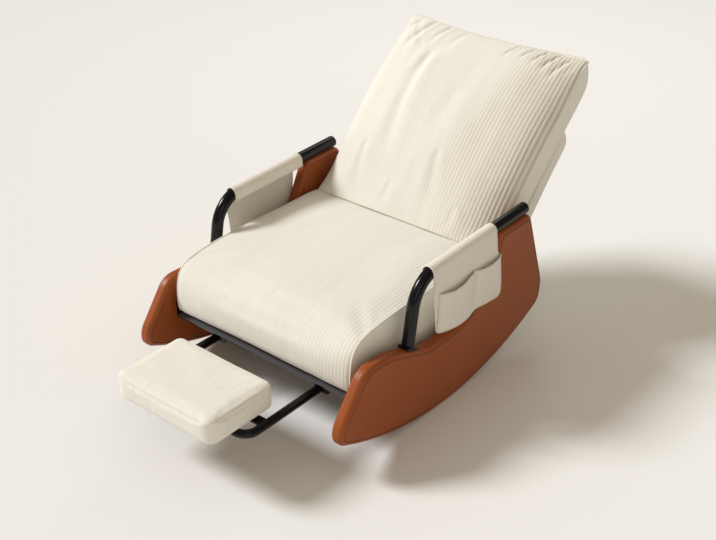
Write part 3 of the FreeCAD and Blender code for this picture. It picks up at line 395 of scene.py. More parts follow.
def buildSurface():
    # dust, faint scuffs and a slow wave of gloss for paint, plastic, rubber and steel
    tree, inp, out = newTree("wornSurface", "Shader", (
        ("Position", "Vector"), ("Base", "Color", (0.02, 0.02, 0.02, 1)),
        ("Worn", "Color", (0.06, 0.06, 0.06, 1)), ("Amount", "Float", 0.25), ("Rough", "Float", 0.2),
        ("Texture Scale", "Float", 300.0)), surfaceOutputs)
    times, plus, minus = mathWords(tree)
    slow = noiseNode(tree, inp["Position"], 9.0, 3.0)
    fine = noiseNode(tree, inp["Position"], inp["Texture Scale"], 3.0, 0.6)
    wear = times(times(slow, fine), inp["Amount"], clamp=True)
    feed(tree, mixColor(tree, wear, inp["Base"], inp["Worn"]), out["Color"])
    feed(tree, plus(inp["Rough"], times(minus(fine, 0.45), 0.14)), out["Roughness"])
    feed(tree, fine, out["Height"])
    return tree


ribbedCloth = buildRibbedCloth(weaveSet)
leatherGrain = buildGrain(grainSet)
wornSurface = buildSurface()


def addBump(tree, height, strength, distance):
    sockets = {"Strength": strength, "Distance": distance, "Height": height}
    feed(tree, addNode(tree, "ShaderNodeBump", sockets).outputs["Normal"],
         tree.nodes["Principled BSDF"].inputs["Normal"])


def newMaterial(name, group, sockets, bump, uniform, attribute=None):
    # cloth reads its own UV, all else object coordinates; bump is strength and distance
    tree = newMaterialTree(name)
    shader = tree.nodes["Principled BSDF"].inputs
    node = addNode(tree, "ShaderNodeGroup", node_tree=group)
    for key, value in sockets.items():
        node.inputs[key].default_value = value
    if group == ribbedCloth:
        source = addNode(tree, "ShaderNodeUVMap", uv_map="clothUV").outputs["UV"]
    else:
        source = addNode(tree, "ShaderNodeTexCoord").outputs["Object"]
    feed(tree, source, node.inputs[0])
    if attribute:
        reader = addNode(tree, "ShaderNodeAttribute", attribute_name=attribute[0])
        feed(tree, reader.outputs["Fac"], node.inputs[attribute[1]])
    addBump(tree, node.outputs["Height"], *bump)
    feed(tree, node.outputs["Color"], shader["Base Color"])
    feed(tree, node.outputs["Roughness"], shader["Roughness"])
    for key, value in uniform.items():
        shader[key].default_value = value
    return bpy.data.materials[name]


# shade and coverShade are the painted shade of the rib grooves, and also the darker tone of real streaks and
# slubs
clothLook = {
    "base": (0.80, 0.785, 0.715, 1),
    "shade": (0.43, 0.355, 0.235, 1),
    "coverBase": (0.775, 0.74, 0.665, 1),
    "coverShade": (0.60, 0.54, 0.44, 1),
    "ribPitch": 0.0104,
    "coverPitch": 0.0021,
    "extra": {"Sheen Weight": 0.25, "Sheen Roughness": 0.6, "Specular IOR Level": 0.25},
}


def newCloth(name, look, tones, pitch, ribGroovePaintedShade, ribHeight, weaveHeight, bump, attribute=None):
    sockets = {"Base": look[tones[0]], "Shade": look[tones[1]], "Rib Pitch": look[pitch],
               "Rib Shade": ribGroovePaintedShade, "Rib Height": ribHeight, "Weave Height": weaveHeight}
    return newMaterial(name, ribbedCloth, sockets, bump, look["extra"], attribute)


# the value after each cloth's pitch key is how strongly painted shade darkens its rib grooves
cushionCloth = newCloth("cushionCloth", clothLook, ("base", "shade"), "ribPitch", 0.95, 1.0, 0.12,
                        (0.45, 0.0009), ("ribAmount", "Rib Amount"))
padCloth = newCloth("padCloth", clothLook, ("base", "shade"), "ribPitch", 0.08, 0.25, 0.12, (0.4, 0.0009))
coverCloth = newCloth("coverCloth", clothLook, ("coverBase", "coverShade"), "coverPitch", 0.10, 0.18, 0.25,
                      (0.35, 0.0006))
tanLeather = newMaterial(
    "tanLeather", leatherGrain,
    {"Base": (0.325, 0.077, 0.0145, 1), "Deep": (0.127, 0.026, 0.0055, 1),
     "Grain Scale": 480.0, "Gloss": 0.42},
    (0.18, 0.0006), {"Specular IOR Level": 0.30}, ("seam", "Seam"))
hardFinishes = {
    # base tone, worn tone, amount of wear, roughness, texture scale, bump, further sockets
    "stitchThread": ((0.11, 0.035, 0.014, 1), (0.2, 0.08, 0.03, 1), 0.5, 0.6, 900.0, (0.3, 0.0003), {}),
    "paleThread": ((0.62, 0.57, 0.47, 1), (0.5, 0.45, 0.36, 1), 0.5, 0.7, 900.0, (0.3, 0.0003), {}),
    "blackPaint": ((0.006, 0.006, 0.0065, 1), (0.018, 0.018, 0.018, 1), 0.35, 0.20, 160.0, (0.03, 0.0004),
                   {"Coat Weight": 0.12, "Coat Roughness": 0.08, "Specular IOR Level": 0.2}),
    "blackPlastic": ((0.016, 0.016, 0.016, 1), (0.05, 0.05, 0.05, 1), 0.4, 0.42, 700.0, (0.15, 0.0003), {}),
    "brushedSteel": ((0.52, 0.52, 0.53, 1), (0.30, 0.30, 0.31, 1), 0.6, 0.32, 500.0, (0.1, 0.0002),
                     {"Metallic": 1.0}),
    "bufferRubber": ((0.02, 0.02, 0.02, 1), (0.07, 0.065, 0.06, 1), 0.6, 0.75, 500.0, (0.25, 0.0004), {}),
}
for name, (*values, bump, extra) in hardFinishes.items():
    sockets = dict(zip(("Base", "Worn", "Amount", "Rough", "Texture Scale"), values))
    newMaterial(name, wornSurface, sockets, bump, extra)


def buildPly():
    tree = newMaterialTree("plyWood")
    shader = tree.nodes["Principled BSDF"].inputs
    place = addNode(tree, "ShaderNodeTexCoord").outputs["Object"]
    grain = noiseNode(tree, scaledVector(tree, place, 160.0, 7.0, 60.0), 1.0, 4.0, 0.6)
    feed(tree, mixColor(tree, grain, (0.62, 0.44, 0.26, 1), (0.36, 0.22, 0.11, 1)), shader["Base Color"])
    feed(tree, mathNode(tree, "MULTIPLY_ADD", grain, 0.2, 0.5), shader["Roughness"])


def buildWebbing(checkPitch):
    # dark woven strap: small checks on object coordinates
    tree = newMaterialTree("wovenStrap")
    shader = tree.nodes["Principled BSDF"].inputs
    times, plus, _ = mathWords(tree)
    place = addNode(tree, "ShaderNodeTexCoord").outputs["Object"]
    split = addNode(tree, "ShaderNodeSeparateXYZ", {0: place}).outputs
    pace = 2 * math.pi / checkPitch
    across, along = [mathNode(tree, "SINE", times(split[axis], pace)) for axis in ("X", "Y")]
    check = mathNode(tree, "MULTIPLY_ADD", times(across, along), 0.5, 0.5)
    fuzz = noiseNode(tree, place, 900.0, 2.0)
    tone = times(plus(check, fuzz), 0.5, clamp=True)
    feed(tree, mixColor(tree, tone, (0.03, 0.03, 0.032, 1), (0.10, 0.10, 0.105, 1)), shader["Base Color"])
    feed(tree, mathNode(tree, "MULTIPLY_ADD", fuzz, 0.15, 0.7), shader["Roughness"])
    addBump(tree, check, 0.5, 0.0006)


buildPly()
buildWebbing(0.0032)
print("materials ready")

geometryOutput = (("Geometry", "Geometry"),)


def finishTree(tree, inp, out, geometry):
    smooth = addNode(tree, "GeometryNodeSetShadeSmooth", {"Geometry": geometry})
    real = addNode(tree, "GeometryNodeRealizeInstances", {"Geometry": smooth.outputs["Geometry"]})
    sockets = {"Geometry": real.outputs["Geometry"], "Material": inp["Finish"]}
    finish = addNode(tree, "GeometryNodeSetMaterial", sockets)
    feed(tree, finish.outputs["Geometry"], out["Geometry"])
    return tree


def buildPiping():
    # a round cord along the host's edges
    tree, inp, out = newTree("pipingAlongEdge", "Geometry", (
        ("Geometry", "Geometry"), ("Radius", "Float", 0.002), ("Sides", "Int", 10), ("Finish", "Material")),
        geometryOutput)
    line = addNode(tree, "GeometryNodeMeshToCurve", {"Mesh": inp["Geometry"]})
    ring = addNode(tree, "GeometryNodeCurvePrimitiveCircle",
                   {"Resolution": inp["Sides"], "Radius": inp["Radius"]})
    tube = addNode(tree, "GeometryNodeCurveToMesh", {
        "Curve": line.outputs["Curve"], "Profile Curve": ring.outputs["Curve"], "Fill Caps": True})
    return finishTree(tree, inp, out, tube.outputs["Mesh"])


def buildStitches(shortest, longest):
    # short stitches laid end to end along the host's edges
    tree, inp, out = newTree("stitchRow", "Geometry", (
        ("Geometry", "Geometry"), ("Spacing", "Float", 0.006), ("Length", "Float", 0.004),
        ("Thickness", "Float", 0.0006), ("Seed", "Int", 3), ("Finish", "Material")), geometryOutput)
    line = addNode(tree, "GeometryNodeMeshToCurve", {"Mesh": inp["Geometry"]})
    even = addNode(tree, "GeometryNodeResampleCurve", mode="LENGTH")
    feed(tree, line.outputs["Curve"], even.inputs["Curve"])
    feed(tree, inp["Spacing"], even.inputs["Length"])
    tangent = addNode(tree, "GeometryNodeInputTangent").outputs["Tangent"]
    turn = addNode(tree, "FunctionNodeAlignRotationToVector", {"Vector": tangent}, axis="Z")
    ball = addNode(tree, "GeometryNodeMeshIcoSphere", {"Radius": 1.0, "Subdivisions": 1})
    size = addNode(tree, "ShaderNodeCombineXYZ", {
        "X": inp["Thickness"], "Y": inp["Thickness"], "Z": mathNode(tree, "MULTIPLY", inp["Length"], 0.5)})
    wobble = addNode(tree, "FunctionNodeRandomValue", {2: shortest, 3: longest, "Seed": inp["Seed"]},
                     data_type="FLOAT")
    grow = addNode(tree, "ShaderNodeVectorMath", {0: size.outputs[0], "Scale": wobble.outputs[1]},
                   operation="SCALE")
    each = addNode(tree, "GeometryNodeInstanceOnPoints", {
        "Points": even.outputs["Curve"], "Rotation": turn.outputs["Rotation"],
        "Instance": ball.outputs["Mesh"], "Scale": grow.outputs[0]})
    return finishTree(tree, inp, out, each.outputs["Instances"])


pipingTree = buildPiping()
stitchTree = buildStitches(0.88, 1.08)


def growOnLines(name, lines, tree, values, body, material):
    # lines: (points, closed) pairs; the tree turns their edges into one mesh
    points, edges = [], []
    for line, closed in lines:
        start = len(points)
        points += [tuple(p) for p in line]
        count = len(line)
        edges += [(start + i, start + i + 1) for i in range(count - 1)]
        if closed:
            edges.append((start + count - 1, start))
    mesh = bpy.data.meshes.new(name)
    mesh.from_pydata(points, edges, [])
    piece = addObject(name, mesh)
    modifier = piece.modifiers.new("build", "NODES")
    modifier.node_group = tree
    values = dict(values, Finish=material)
    for item in tree.interface.items_tree:
        if item.in_out == "INPUT" and item.name in values:
            modifier[item.identifier] = values[item.name]
    takeShape(piece)
    return dress(piece, material, body)


def sewOn(name, lines, values, thread):
    growOnLines(name, lines, stitchTree, values, "chair_frame", bpy.data.materials[thread])


clothSet = {"mass": 0.3, "shearShare": 0.5, "airDamping": 1.5, "quality": 5}


def puffUp(piece, pinned, s):
    # air pressure inside the cover, with the seams held
    group = piece.vertex_groups.new(name="seams")
    for index in pinned:
        group.add([index], 1.0, "REPLACE")
    before = coordinates(piece)
    modifier = piece.modifiers.new("air", "CLOTH")
    cloth = modifier.settings
    cloth.quality = clothSet["quality"]
    cloth.mass = clothSet["mass"]
    cloth.tension_stiffness = cloth.compression_stiffness = s["stiff"]
    cloth.shear_stiffness = s["stiff"] * clothSet["shearShare"]
    cloth.bending_stiffness = s["bend"]
    cloth.air_damping = clothSet["airDamping"]
    cloth.use_pressure = True
    cloth.uniform_pressure_force = s["pressure"]
    cloth.vertex_group_mass = "seams"
    cloth.effector_weights.gravity = 0.0
    modifier.collision_settings.use_collision = False
    modifier.point_cache.frame_start = 1
    modifier.point_cache.frame_end = s["frames"]
    scene = bpy.context.scene
    for number in range(1, s["frames"] + 1):
        scene.frame_set(number)
    result = piece.evaluated_get(bpy.context.evaluated_depsgraph_get())
    move = readVectors(result.data.vertices, "co") - before
    piece.modifiers.remove(modifier)
    scene.frame_set(1)
    reach = np.linalg.norm(move, axis=1, keepdims=True)
    cap = s["cap"]
    move *= np.where(reach > cap, cap / np.maximum(reach, 1e-9), 1.0)
    setCoordinates(piece, before + move)
    piece.vertex_groups.clear()
    print(piece.name, "swelled by up to %.1f mm" % (1000 * min(cap, float(reach.max()))))


def subdivide(piece):
    modifier = piece.modifiers.new("finer", "SUBSURF")
    modifier.levels = modifier.render_levels = 1
    takeShape(piece)


sideShift = 3.0  # the side strips' cloth lies this far off on the cloth's UV, in metres
gussetPowers = (0.6, 0.4)  # how full a side strip is across and along: less is fuller


def loftCushion(name, stations, section, rows, bulge):
    # wrap of cloth over all stations, closed by a gusset at each side; section(x) gives the
    # front or top line and the rear or bottom line, with the same number of points and shared ends
    points, faces, uvs, rings, girth = [], [], [], [], []
    for x in stations:
        front, rear = section(x)
        loop = [np.array((x, y, z)) for y, z in (*front, *rear[::-1][1:-1])]
        rings.append([len(points) + i for i in range(len(loop))])
        points += loop
        girth.append(runLengths([*loop, loop[0]]))
    half = len(front) - 1
    size = 2 * half
    for a in range(len(stations) - 1):
        b = a + 1
        for k in range(size):
            n = (k + 1) % size
            faces.append((rings[a][k], rings[b][k], rings[b][n], rings[a][n]))
            uvs.append(((stations[a], girth[a][k]), (stations[b], girth[b][k]),
                        (stations[b], girth[b][k + 1]), (stations[a], girth[a][k + 1])))
    for side, ring in ((-1, rings[0]), (1, rings[-1])):
        front = ring[:half + 1]
        rear = [ring[0], *ring[:half - 1:-1]]
        grid = [front]
        for j in range(1, rows):
            t = j / rows
            line = [front[0]]
            for k in range(1, half):
                p = points[front[k]] * (1 - t) + points[rear[k]] * t
                lift = bulge
                for share, power in zip((t, k / half), gussetPowers):
                    lift *= math.sin(math.pi * share) ** power
                points.append(p + np.array((side * lift, 0, 0)))
                line.append(len(points) - 1)
            line.append(front[half])
            grid.append(line)
        grid.append(rear)
        for j in range(rows):
            for k in range(half):
                quad = [grid[j][k], grid[j][k + 1], grid[j + 1][k + 1], grid[j + 1][k]]
                if side > 0:
                    quad.reverse()
                quad = [q for i, q in enumerate(quad) if q not in quad[:i]]
                if len(quad) < 3:
                    continue
                faces.append(tuple(quad))
                uvs.append([(points[q][1] + sideShift * side, points[q][2]) for q in quad])
    return makeMesh(name, points, faces, uvs), rings


pivot = (mm(185.0), mm(165.0))  # the recline hinge, seen from the side
seatCushion = {
    "half": mm(293.0),
    "top": [(-331, 166.6), (-343.5, 171.0), (-349.8, 184), (-352.0, 212), (-350.5, 242), (-346, 268),
            (-337, 288), (-320, 303.5), (-290, 313), (-224, 321.5), (-150, 324.5), (-60, 325.5), (40, 325),
            (120, 323.5), (185, 321.4), (233.4, 313.3), (276.8, 291.2), (310.5, 257), (330.0, 219),
            (336.5, 193), (330, 173.5), (313, 166.6)],
    "centre": (mm(60.0), mm(250.0)),
    "count": 86,
    "crown": mm(3.0),
    "shoulder": mm(22.0),
    "drop": mm(5.0),
    "steps": [mm(12.2), mm(7.5), mm(3.2), 0.0],
    # ribs: height at each side and where it changes, its wave's seed, and the height at which rib strength
    # and painted groove shade are full
    "ribs": {"left": 0.05, "right": 0.26, "from": -0.1, "over": 0.9, "seed": 41, "full": 0.55},
    # rows and bulge of the side strips
    "gusset": (14, mm(1.2)),
    "puff": {"pressure": 1.6, "stiff": 18.0, "bend": 0.6, "frames": 16, "cap": mm(5.0)},
    "pipingRadius": mm(2.3),
    # the crown grows from this height on: from, over; and its shares along and up
    "crownFrom": (mm(200.0), mm(110.0)),
    "crownShares": (0.5, 1.0),
    # how far a face looks up and forwards before it counts as top: from, over
    "facing": ((0.1, 0.6), (0.3, 0.6)),
    "fill": 0.9,
    # cloth held down: above the bottom, and behind the hinge beyond this reach of it
    "heldHeight": mm(1.5),
    "heldBehind": mm(10.0),
    "heldReach": mm(150.0),
    "pipingOff": mm(0.6),
    "pipingAbove": mm(1.0),
    "pipingRear": mm(300.0),
    # slow and small waves: stretch, scale, seed, height
    "dips": [((1.0, 0.55, 1.0), 0.24, 5, mm(0.9)), ((1.0, 0.3, 0.3), 0.06, 8, mm(0.25))],
}


def softWaves(points, waves):
    return sum(softNoise(points * np.array(stretch), scale, seed) * height
               for stretch, scale, seed, height in waves)


def sideStations(half, inner, edges):
    # even steps over the middle and the given steps in from each side
    count = max(3, round(2 * (half - edges[0]) / inner))
    middle = np.linspace(-(half - edges[0]), half - edges[0], count + 1)
    left = [-(half - e) for e in reversed(edges[1:])]
    return [*left, *middle, *[-x for x in reversed(left)]]


ribSet = {
    "height": mm(1.0),
    # how even the ribs are, and the slow wave that changes them: share, stretch, scale
    "even": 0.8,
    "wave": (0.2, (1.0, 0.35, 0.35), 0.16),
}


def pressRibs(piece, s, facing):
    # the cloth's ribs stand up most where it is drawn round the side, in step with the cloth's own UV; the
    # same share, kept as an attribute, also sets how much painted shade darkens the rib grooves, so that
    # side is painted darker
    mesh = piece.data
    uv = np.zeros(len(mesh.loops) * 2, np.float32)
    mesh.uv_layers["clothUV"].data.foreach_get("uv", uv)
    corner = np.zeros(len(mesh.loops), np.int32)
    mesh.loops.foreach_get("vertex_index", corner)
    across = uv[0::2].astype(float)
    wrap = np.abs(across) < sideShift / 2
    u = np.zeros(len(mesh.vertices))
    onWrap = np.zeros(len(mesh.vertices))
    u[corner[wrap]] = across[wrap]
    onWrap[corner[wrap]] = 1.0
    onWrap[corner[~wrap]] = 0.0
    points = coordinates(piece)
    ribs = s["ribs"]
    across = smoothStep((u / s["half"] - ribs["from"]) / ribs["over"])
    high = ribs["left"] + (ribs["right"] - ribs["left"]) * across
    share, stretch, scale = ribSet["wave"]
    high *= ribSet["even"] + share * softNoise(points * np.array(stretch), scale, ribs["seed"])
    # painted shade: this attribute also scales the darkening of the rib grooves in the cloth's colour
    layer = mesh.attributes.new("ribAmount", "FLOAT", "POINT")
    layer.data.foreach_set("value", (np.clip(high / ribs["full"], 0, 1) * onWrap).astype(np.float32))
    wave = np.sin(2 * math.pi * u / clothLook["ribPitch"])
    pushOut(piece, points, vertexNormals(piece), ribSet["height"] * high * wave * onWrap * facing)


def rollOver(x, half, width):
    # how far the cloth has rolled over towards the side seam, 0 to 1
    edge = max(0.0, (abs(x) - (half - width)) / width)
    return 1 - math.sqrt(max(0.0, 1 - edge ** 2))


def seatSection(s):
    top = throughPoints([(mm(y), mm(z)) for y, z in s["top"]], s["count"])
    outward = top - np.array(s["centre"])
    outward /= np.linalg.norm(outward, axis=1, keepdims=True)
    start, over = s["crownFrom"]
    high = smoothStep((top[:, 1] - start) / over)[:, None]
    bottomZ = top[0][1]

    def section(x):
        inset = s["drop"] * rollOver(x, s["half"], s["shoulder"])
        crown = s["crown"] * (1 - (abs(x) / s["half"]) ** 4)
        line = top + outward * (crown * high * np.array(s["crownShares"])) - outward * inset
        line[:, 1] = np.maximum(line[:, 1], bottomZ)
        line[0], line[-1] = (line[0][0], bottomZ), (line[-1][0], bottomZ)
        steps = np.linspace(0, 1, len(line))[:, None]
        return line, line[0] * (1 - steps) + line[-1] * steps

    return section


def padCushion(piece, body, node):
    facesOutwards(piece)
    dress(piece, cushionCloth, body)
    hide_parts(node)


def addPiping(name, lines, values, body):
    growOnLines(name, [(line, False) for line in lines], pipingTree, values, body, padCloth)


def makeSeatCushion(s):
    stations = sideStations(s["half"], clothLook["ribPitch"] / 2, s["steps"])
    piece, rings = loftCushion("seatCushionCover", stations, seatSection(s), *s["gusset"])
    points = coordinates(piece)
    low = float(points[:, 2].min())
    reach = np.hypot(points[:, 1] - pivot[0], points[:, 2] - pivot[1])
    held = (points[:, 2] < low + s["heldHeight"]) | (
        (points[:, 1] > pivot[0] - s["heldBehind"]) & (reach > s["heldReach"]))
    puffUp(piece, [*rings[0], *rings[-1], *np.nonzero(held)[0].tolist()], s["puff"])
    seams = []
    points = coordinates(piece)
    for ring in (rings[0], rings[-1]):
        line = points[ring[:s["count"]]]
        line[:, 0] += np.sign(line[0, 0]) * s["pipingOff"]
        seams.append(line[(line[:, 2] > low + s["pipingAbove"])
                          & ((line[:, 1] < pivot[0]) | (line[:, 2] > s["pipingRear"]))])
    subdivide(piece)
    points = coordinates(piece)
    normals = vertexNormals(piece)
    (up, upOver), (ahead, aheadOver) = s["facing"]
    top = smoothStep((normals[:, 2] - up) / upOver) + smoothStep((-normals[:, 1] - ahead) / aheadOver)
    top = np.clip(top, 0, 1)
    pushOut(piece, points, normals, softWaves(points, s["dips"]) * top)
    pressRibs(piece, s, top)
    padCushion(piece, "chair_frame", "seat_cushion")
    addPiping("seatCushionPiping", seams, {"Radius": s["pipingRadius"], "Sides": 8}, "chair_frame")


backTurn = math.radians(43.5)
backCushion = {
    "half": mm(291.0),
    # (distance up the back from the hinge, thickness at the side edge, extra in the middle)
    "front": [(118, 101, 8), (126, 103.5, 10), (150, 105, 15), (190, 108, 20), (250, 114, 25),
              (320, 120.5, 28), (400, 124.5, 30), (480, 124.5, 29), (560, 119.5, 25), (620, 112.5, 20),
              (660, 105.5, 14), (690, 98, 7), (703, 92.5, 3), (707, 90, 0)],
    "rear": [(118, 101, 8), (122.5, 94, 6), (132, 85, 0), (144, 64, 0), (153, 38, 0), (157.5, 18, 0),
             (163, 9.5, 0), (185, 8.6, 0), (300, 8.6, 0), (420, 8.6, 0), (540, 8.8, 0), (630, 9.5, 0),
             (662, 16, 0), (684, 36, 0), (698, 62, 0), (705, 80, 0), (707, 90, 0)],
    "count": 82,
    "earRise": mm(17.0),
    # how the front rolls over to the side seam: width and depth, on the sitter's right and left
    "rollRight": (mm(55.0), mm(18.0)),
    "rollLeft": (mm(160.0), mm(46.0)),
    "rearRoll": (mm(14.0), mm(6.0)),
    "tuck": mm(3.6),
    "steps": [mm(10.2), mm(6.2), mm(2.8), 0.0],
    # ribs: height at each side and where it changes, its wave's seed, and the height at which rib strength
    # and painted groove shade are full
    "ribs": {"left": 0.06, "right": 0.85, "from": 0.0, "over": 0.8, "seed": 43, "full": 0.55},
    # rows and bulge of the side strips
    "gusset": (12, mm(1.5)),
    "puff": {"pressure": 1.5, "stiff": 15.0, "bend": 0.4, "frames": 16, "cap": mm(6.0)},
    # folds: start (share across, share up), end, width, depth in mm
    "folds": [
        ((-0.50, 0.80), (-0.40, 0.22), 22.0, 5.0),
        ((-0.66, 0.30), (-0.57, 0.07), 15.0, 3.0),
        ((0.16, 0.36), (0.27, 0.12), 17.0, 2.4),
        ((-0.85, 1.00), (-0.97, 0.925), 8.0, 3.6),
        ((-0.70, 1.00), (-0.86, 0.80), 11.0, 5.0),
        ((-0.50, 1.00), (-0.60, 0.86), 9.0, 3.4),
        ((-0.28, 1.00), (-0.38, 0.84), 13.0, 2.2),
        ((-0.47, 0.82), (-0.60, 0.58), 20.0, 2.4),
        ((0.32, 1.00), (0.22, 0.89), 6.5, 3.4),
        ((0.49, 1.00), (0.40, 0.91), 6.0, 3.8),
        ((0.62, 1.00), (0.53, 0.90), 6.0, 4.2),
        ((0.74, 1.00), (0.65, 0.88), 6.5, 4.2),
        ((0.85, 0.99), (0.76, 0.85), 7.5, 3.4),
        ((-0.20, 0.16), (-0.24, 0.02), 12.0, 1.4),
        ((0.55, 0.14), (0.53, 0.02), 12.0, 1.4),
        ((0.02, 0.66), (-0.02, 0.36), 34.0, 1.8),
    ],
    # where the top edge rises and the low end thins, along the back: from, over, share of the roll left out
    "lift": (540.0, 167.0, 0.6),
    "low": (180.0, 60.0, 0.7),
    "fullPower": 2.4,
    "fill": 0.75,
    "seamOff": mm(0.8),
    "seamTrim": 3,
    "seamRadius": mm(1.2),
    "dips": [((1.0, 0.5, 0.5), 0.20, 11, mm(1.3)), ((1.0, 0.25, 0.25), 0.055, 17, mm(0.35))],
}


def backToFrame(x, along, out):
    y = pivot[0] + along * math.cos(backTurn) - out * math.sin(backTurn)
    z = pivot[1] + along * math.sin(backTurn) + out * math.cos(backTurn)
    return x, y, z


def backSection(s):
    def section(x):
        share = abs(x) / s["half"]
        full = 1 - share ** s["fullPower"]
        rise = s["earRise"] * share ** 2 - s["tuck"] * rollOver(x, s["half"], s["rearRoll"][0])

        def bent(table, towards, width, depth):
            line = []
            for along, side, extra in table:
                lifted = smoothStep((along - s["lift"][0]) / s["lift"][1])
                low = smoothStep((s["low"][0] - along) / s["low"][1])
                roll = towards * depth * rollOver(x, s["half"], width)
                out = mm(side + extra * full) + roll * (1 - lifted * s["lift"][2]) * (1 - low * s["low"][2])
                line.append((mm(along) + rise * lifted, out))
            return line

        front = bent(s["front"], -1.0, *(s["rollLeft"] if x > 0 else s["rollRight"]))
        rear = bent(s["rear"], 1.0, *s["rearRoll"])
        rear[0], rear[-1] = front[0], front[-1]
        return [[backToFrame(0, u, n)[1:] for u, n in throughPoints(line, s["count"])]
                for line in (front, rear)]

    return section


foldSet = {
    "facing": (0.05, 0.5),
    # how a fold bends along its length, and from which depth on it bends the other way
    "bend": 0.12,
    "deep": 2,
    # its width at the start and what it gains towards the end
    "width": (0.6, 0.5),
    "fadeIn": (0.12, 0.22),
    "fadeOut": (0.55, 0.5),
    # the fuller ridges beside it: how far off, how wide, how high, and the share of the far one
    "ridgeOff": 2.0,
    "ridgeWidth": 1.3,
    "ridgeHeight": 0.42,
    "farShare": 0.6,
}


def foldCloth(piece, s):
    # soft valleys with a fuller ridge beside them, on the front face only
    points = coordinates(piece)
    normals = vertexNormals(piece)
    rel = points[:, 1:] - np.array(pivot)
    along = rel[:, 0] * math.cos(backTurn) + rel[:, 1] * math.sin(backTurn)
    facing = normals[:, 1] * -math.sin(backTurn) + normals[:, 2] * math.cos(backTurn)
    front = smoothStep((facing - foldSet["facing"][0]) / foldSet["facing"][1])
    low, high = mm(s["front"][0][0]), mm(s["front"][-1][0])
    shift = np.zeros(len(points))
    for (x0, t0), (x1, t1), width, depth in s["folds"]:
        a = np.array((x0 * s["half"], low + t0 * (high - low)))
        b = np.array((x1 * s["half"], low + t1 * (high - low)))
        run = b - a
        length = np.linalg.norm(run)
        run /= length
        side = np.array((-run[1], run[0]))
        p = np.stack([points[:, 0], along], 1) - a
        t = p @ run / length
        curve = foldSet["bend"] * length * (t * (1 - t)) * (1 if depth > foldSet["deep"] else -1)
        d = p @ side + curve
        w = mm(width) * (foldSet["width"][0] + foldSet["width"][1] * np.clip(t, 0, 1))
        fade = smoothStep((t + foldSet["fadeIn"][0]) / foldSet["fadeIn"][1])
        fade *= 1 - smoothStep((t - foldSet["fadeOut"][0]) / foldSet["fadeOut"][1])
        valley = np.exp(-(d / w) ** 2)
        near, far = [np.exp(-((d + sign * foldSet["ridgeOff"] * w) / (foldSet["ridgeWidth"] * w)) ** 2)
                     for sign in (-1, 1)]
        ridge = near + foldSet["farShare"] * far
        shift += fade * mm(depth) * (-valley + foldSet["ridgeHeight"] * ridge)
    pushOut(piece, points, normals, (shift + softWaves(points, s["dips"])) * front)
    pressRibs(piece, s, front)


def makeBackCushion(s):
    stations = sideStations(s["half"], clothLook["ribPitch"] / 2, s["steps"])
    piece, rings = loftCushion("backCushionCover", stations, backSection(s), *s["gusset"])
    half = s["count"] - 1
    held = [i for ring in rings for i in (ring[0], *ring[half:])]
    puffUp(piece, [*held, *rings[0], *rings[-1]], s["puff"])
    seam = coordinates(piece)[[ring[half] for ring in rings]]
    seam += np.array(backToFrame(0, s["seamOff"], 0)) - np.array(backToFrame(0, 0, 0))
    subdivide(piece)
    foldCloth(piece, s)
    padCushion(piece, "backrest", "back_cushion")
    line = seam[s["seamTrim"]:-s["seamTrim"]]
    addPiping("backCushionTopSeam", [line], {"Radius": s["seamRadius"], "Sides": 6}, "backrest")


# rows of a slab's faces, how much closer they lie near its edges, and how full its crown is
slabSet = {"cuts": 31, "crowding": 1.6, "crownPower": 0.7}


def roundedSlab(name, half, corner, edges, place, crown):
    # half sizes, corner(side) radius seen from above, edge radius above and below
    work = bmesh.new()
    bmesh.ops.create_cube(work, size=2.0)
    bmesh.ops.subdivide_edges(work, edges=work.edges[:], cuts=slabSet["cuts"], use_grid_fill=True)
    raw = np.array([v.co for v in work.verts])
    spread = np.sign(raw) * (1 - (1 - np.abs(raw)) ** slabSet["crowding"])
    for vertex, q, side in zip(work.verts, spread * np.array(half), raw):
        r = corner(side[1])
        flatHalf = np.array(half[:2])
        inner = np.clip(q[:2], -(flatHalf - r), flatHalf - r)
        away = (q[:2] - inner) / r
        reach, flat = np.linalg.norm(away), np.max(np.abs(away))
        normal = away / reach if reach > 0 else np.zeros(2)
        p = inner + normal * flat * r
        depth = r * (1 - flat)
        edge = edges[0] if side[2] > 0 else edges[1]
        below = half[2] - abs(q[2])
        if flat > 0 and depth < edge and below < edge:
            bend = np.array((edge - depth, edge - below)) / edge
            bend *= np.max(bend) / max(np.linalg.norm(bend), 1e-9)
            p = p - normal * (edge * (1 - bend[0]) - depth)
            below = edge * (1 - bend[1])
        full = max(0.0, (1 - (p[0] / half[0]) ** 2) * (1 - (p[1] / half[1]) ** 2))
        z = math.copysign(half[2] - below, q[2]) + crown(side[2]) * full ** slabSet["crownPower"]
        vertex.co = place((p[0], p[1], z))
    mesh = bpy.data.meshes.new(name)
    work.to_mesh(mesh)
    work.free()
    mesh.polygons.foreach_set("use_smooth", [True] * len(mesh.polygons))
    return addObject(name, mesh)


def boxCloth(piece, turn=0.0, steep=0.72):
    # cloth coordinates in metres from the side each face looks to
    mesh = piece.data
    layer = mesh.uv_layers.get("clothUV") or mesh.uv_layers.new(name="clothUV")
    points = coordinates(piece)
    along = points[:, 1] * math.cos(turn) + points[:, 2] * math.sin(turn)
    out = -points[:, 1] * math.sin(turn) + points[:, 2] * math.cos(turn)
    values = np.zeros((len(mesh.loops), 2), np.float32)
    for polygon in mesh.polygons:
        n = polygon.normal
        for k in polygon.loop_indices:
            v = mesh.loops[k].vertex_index
            if abs(n.x) > steep:
                values[k] = (along[v] + sideShift, out[v])
            elif abs(n.y * math.cos(turn) + n.z * math.sin(turn)) > steep:
                values[k] = (points[v, 0], out[v])
            else:
                values[k] = (points[v, 0], along[v])
    layer.data.foreach_set("uv", values.ravel())


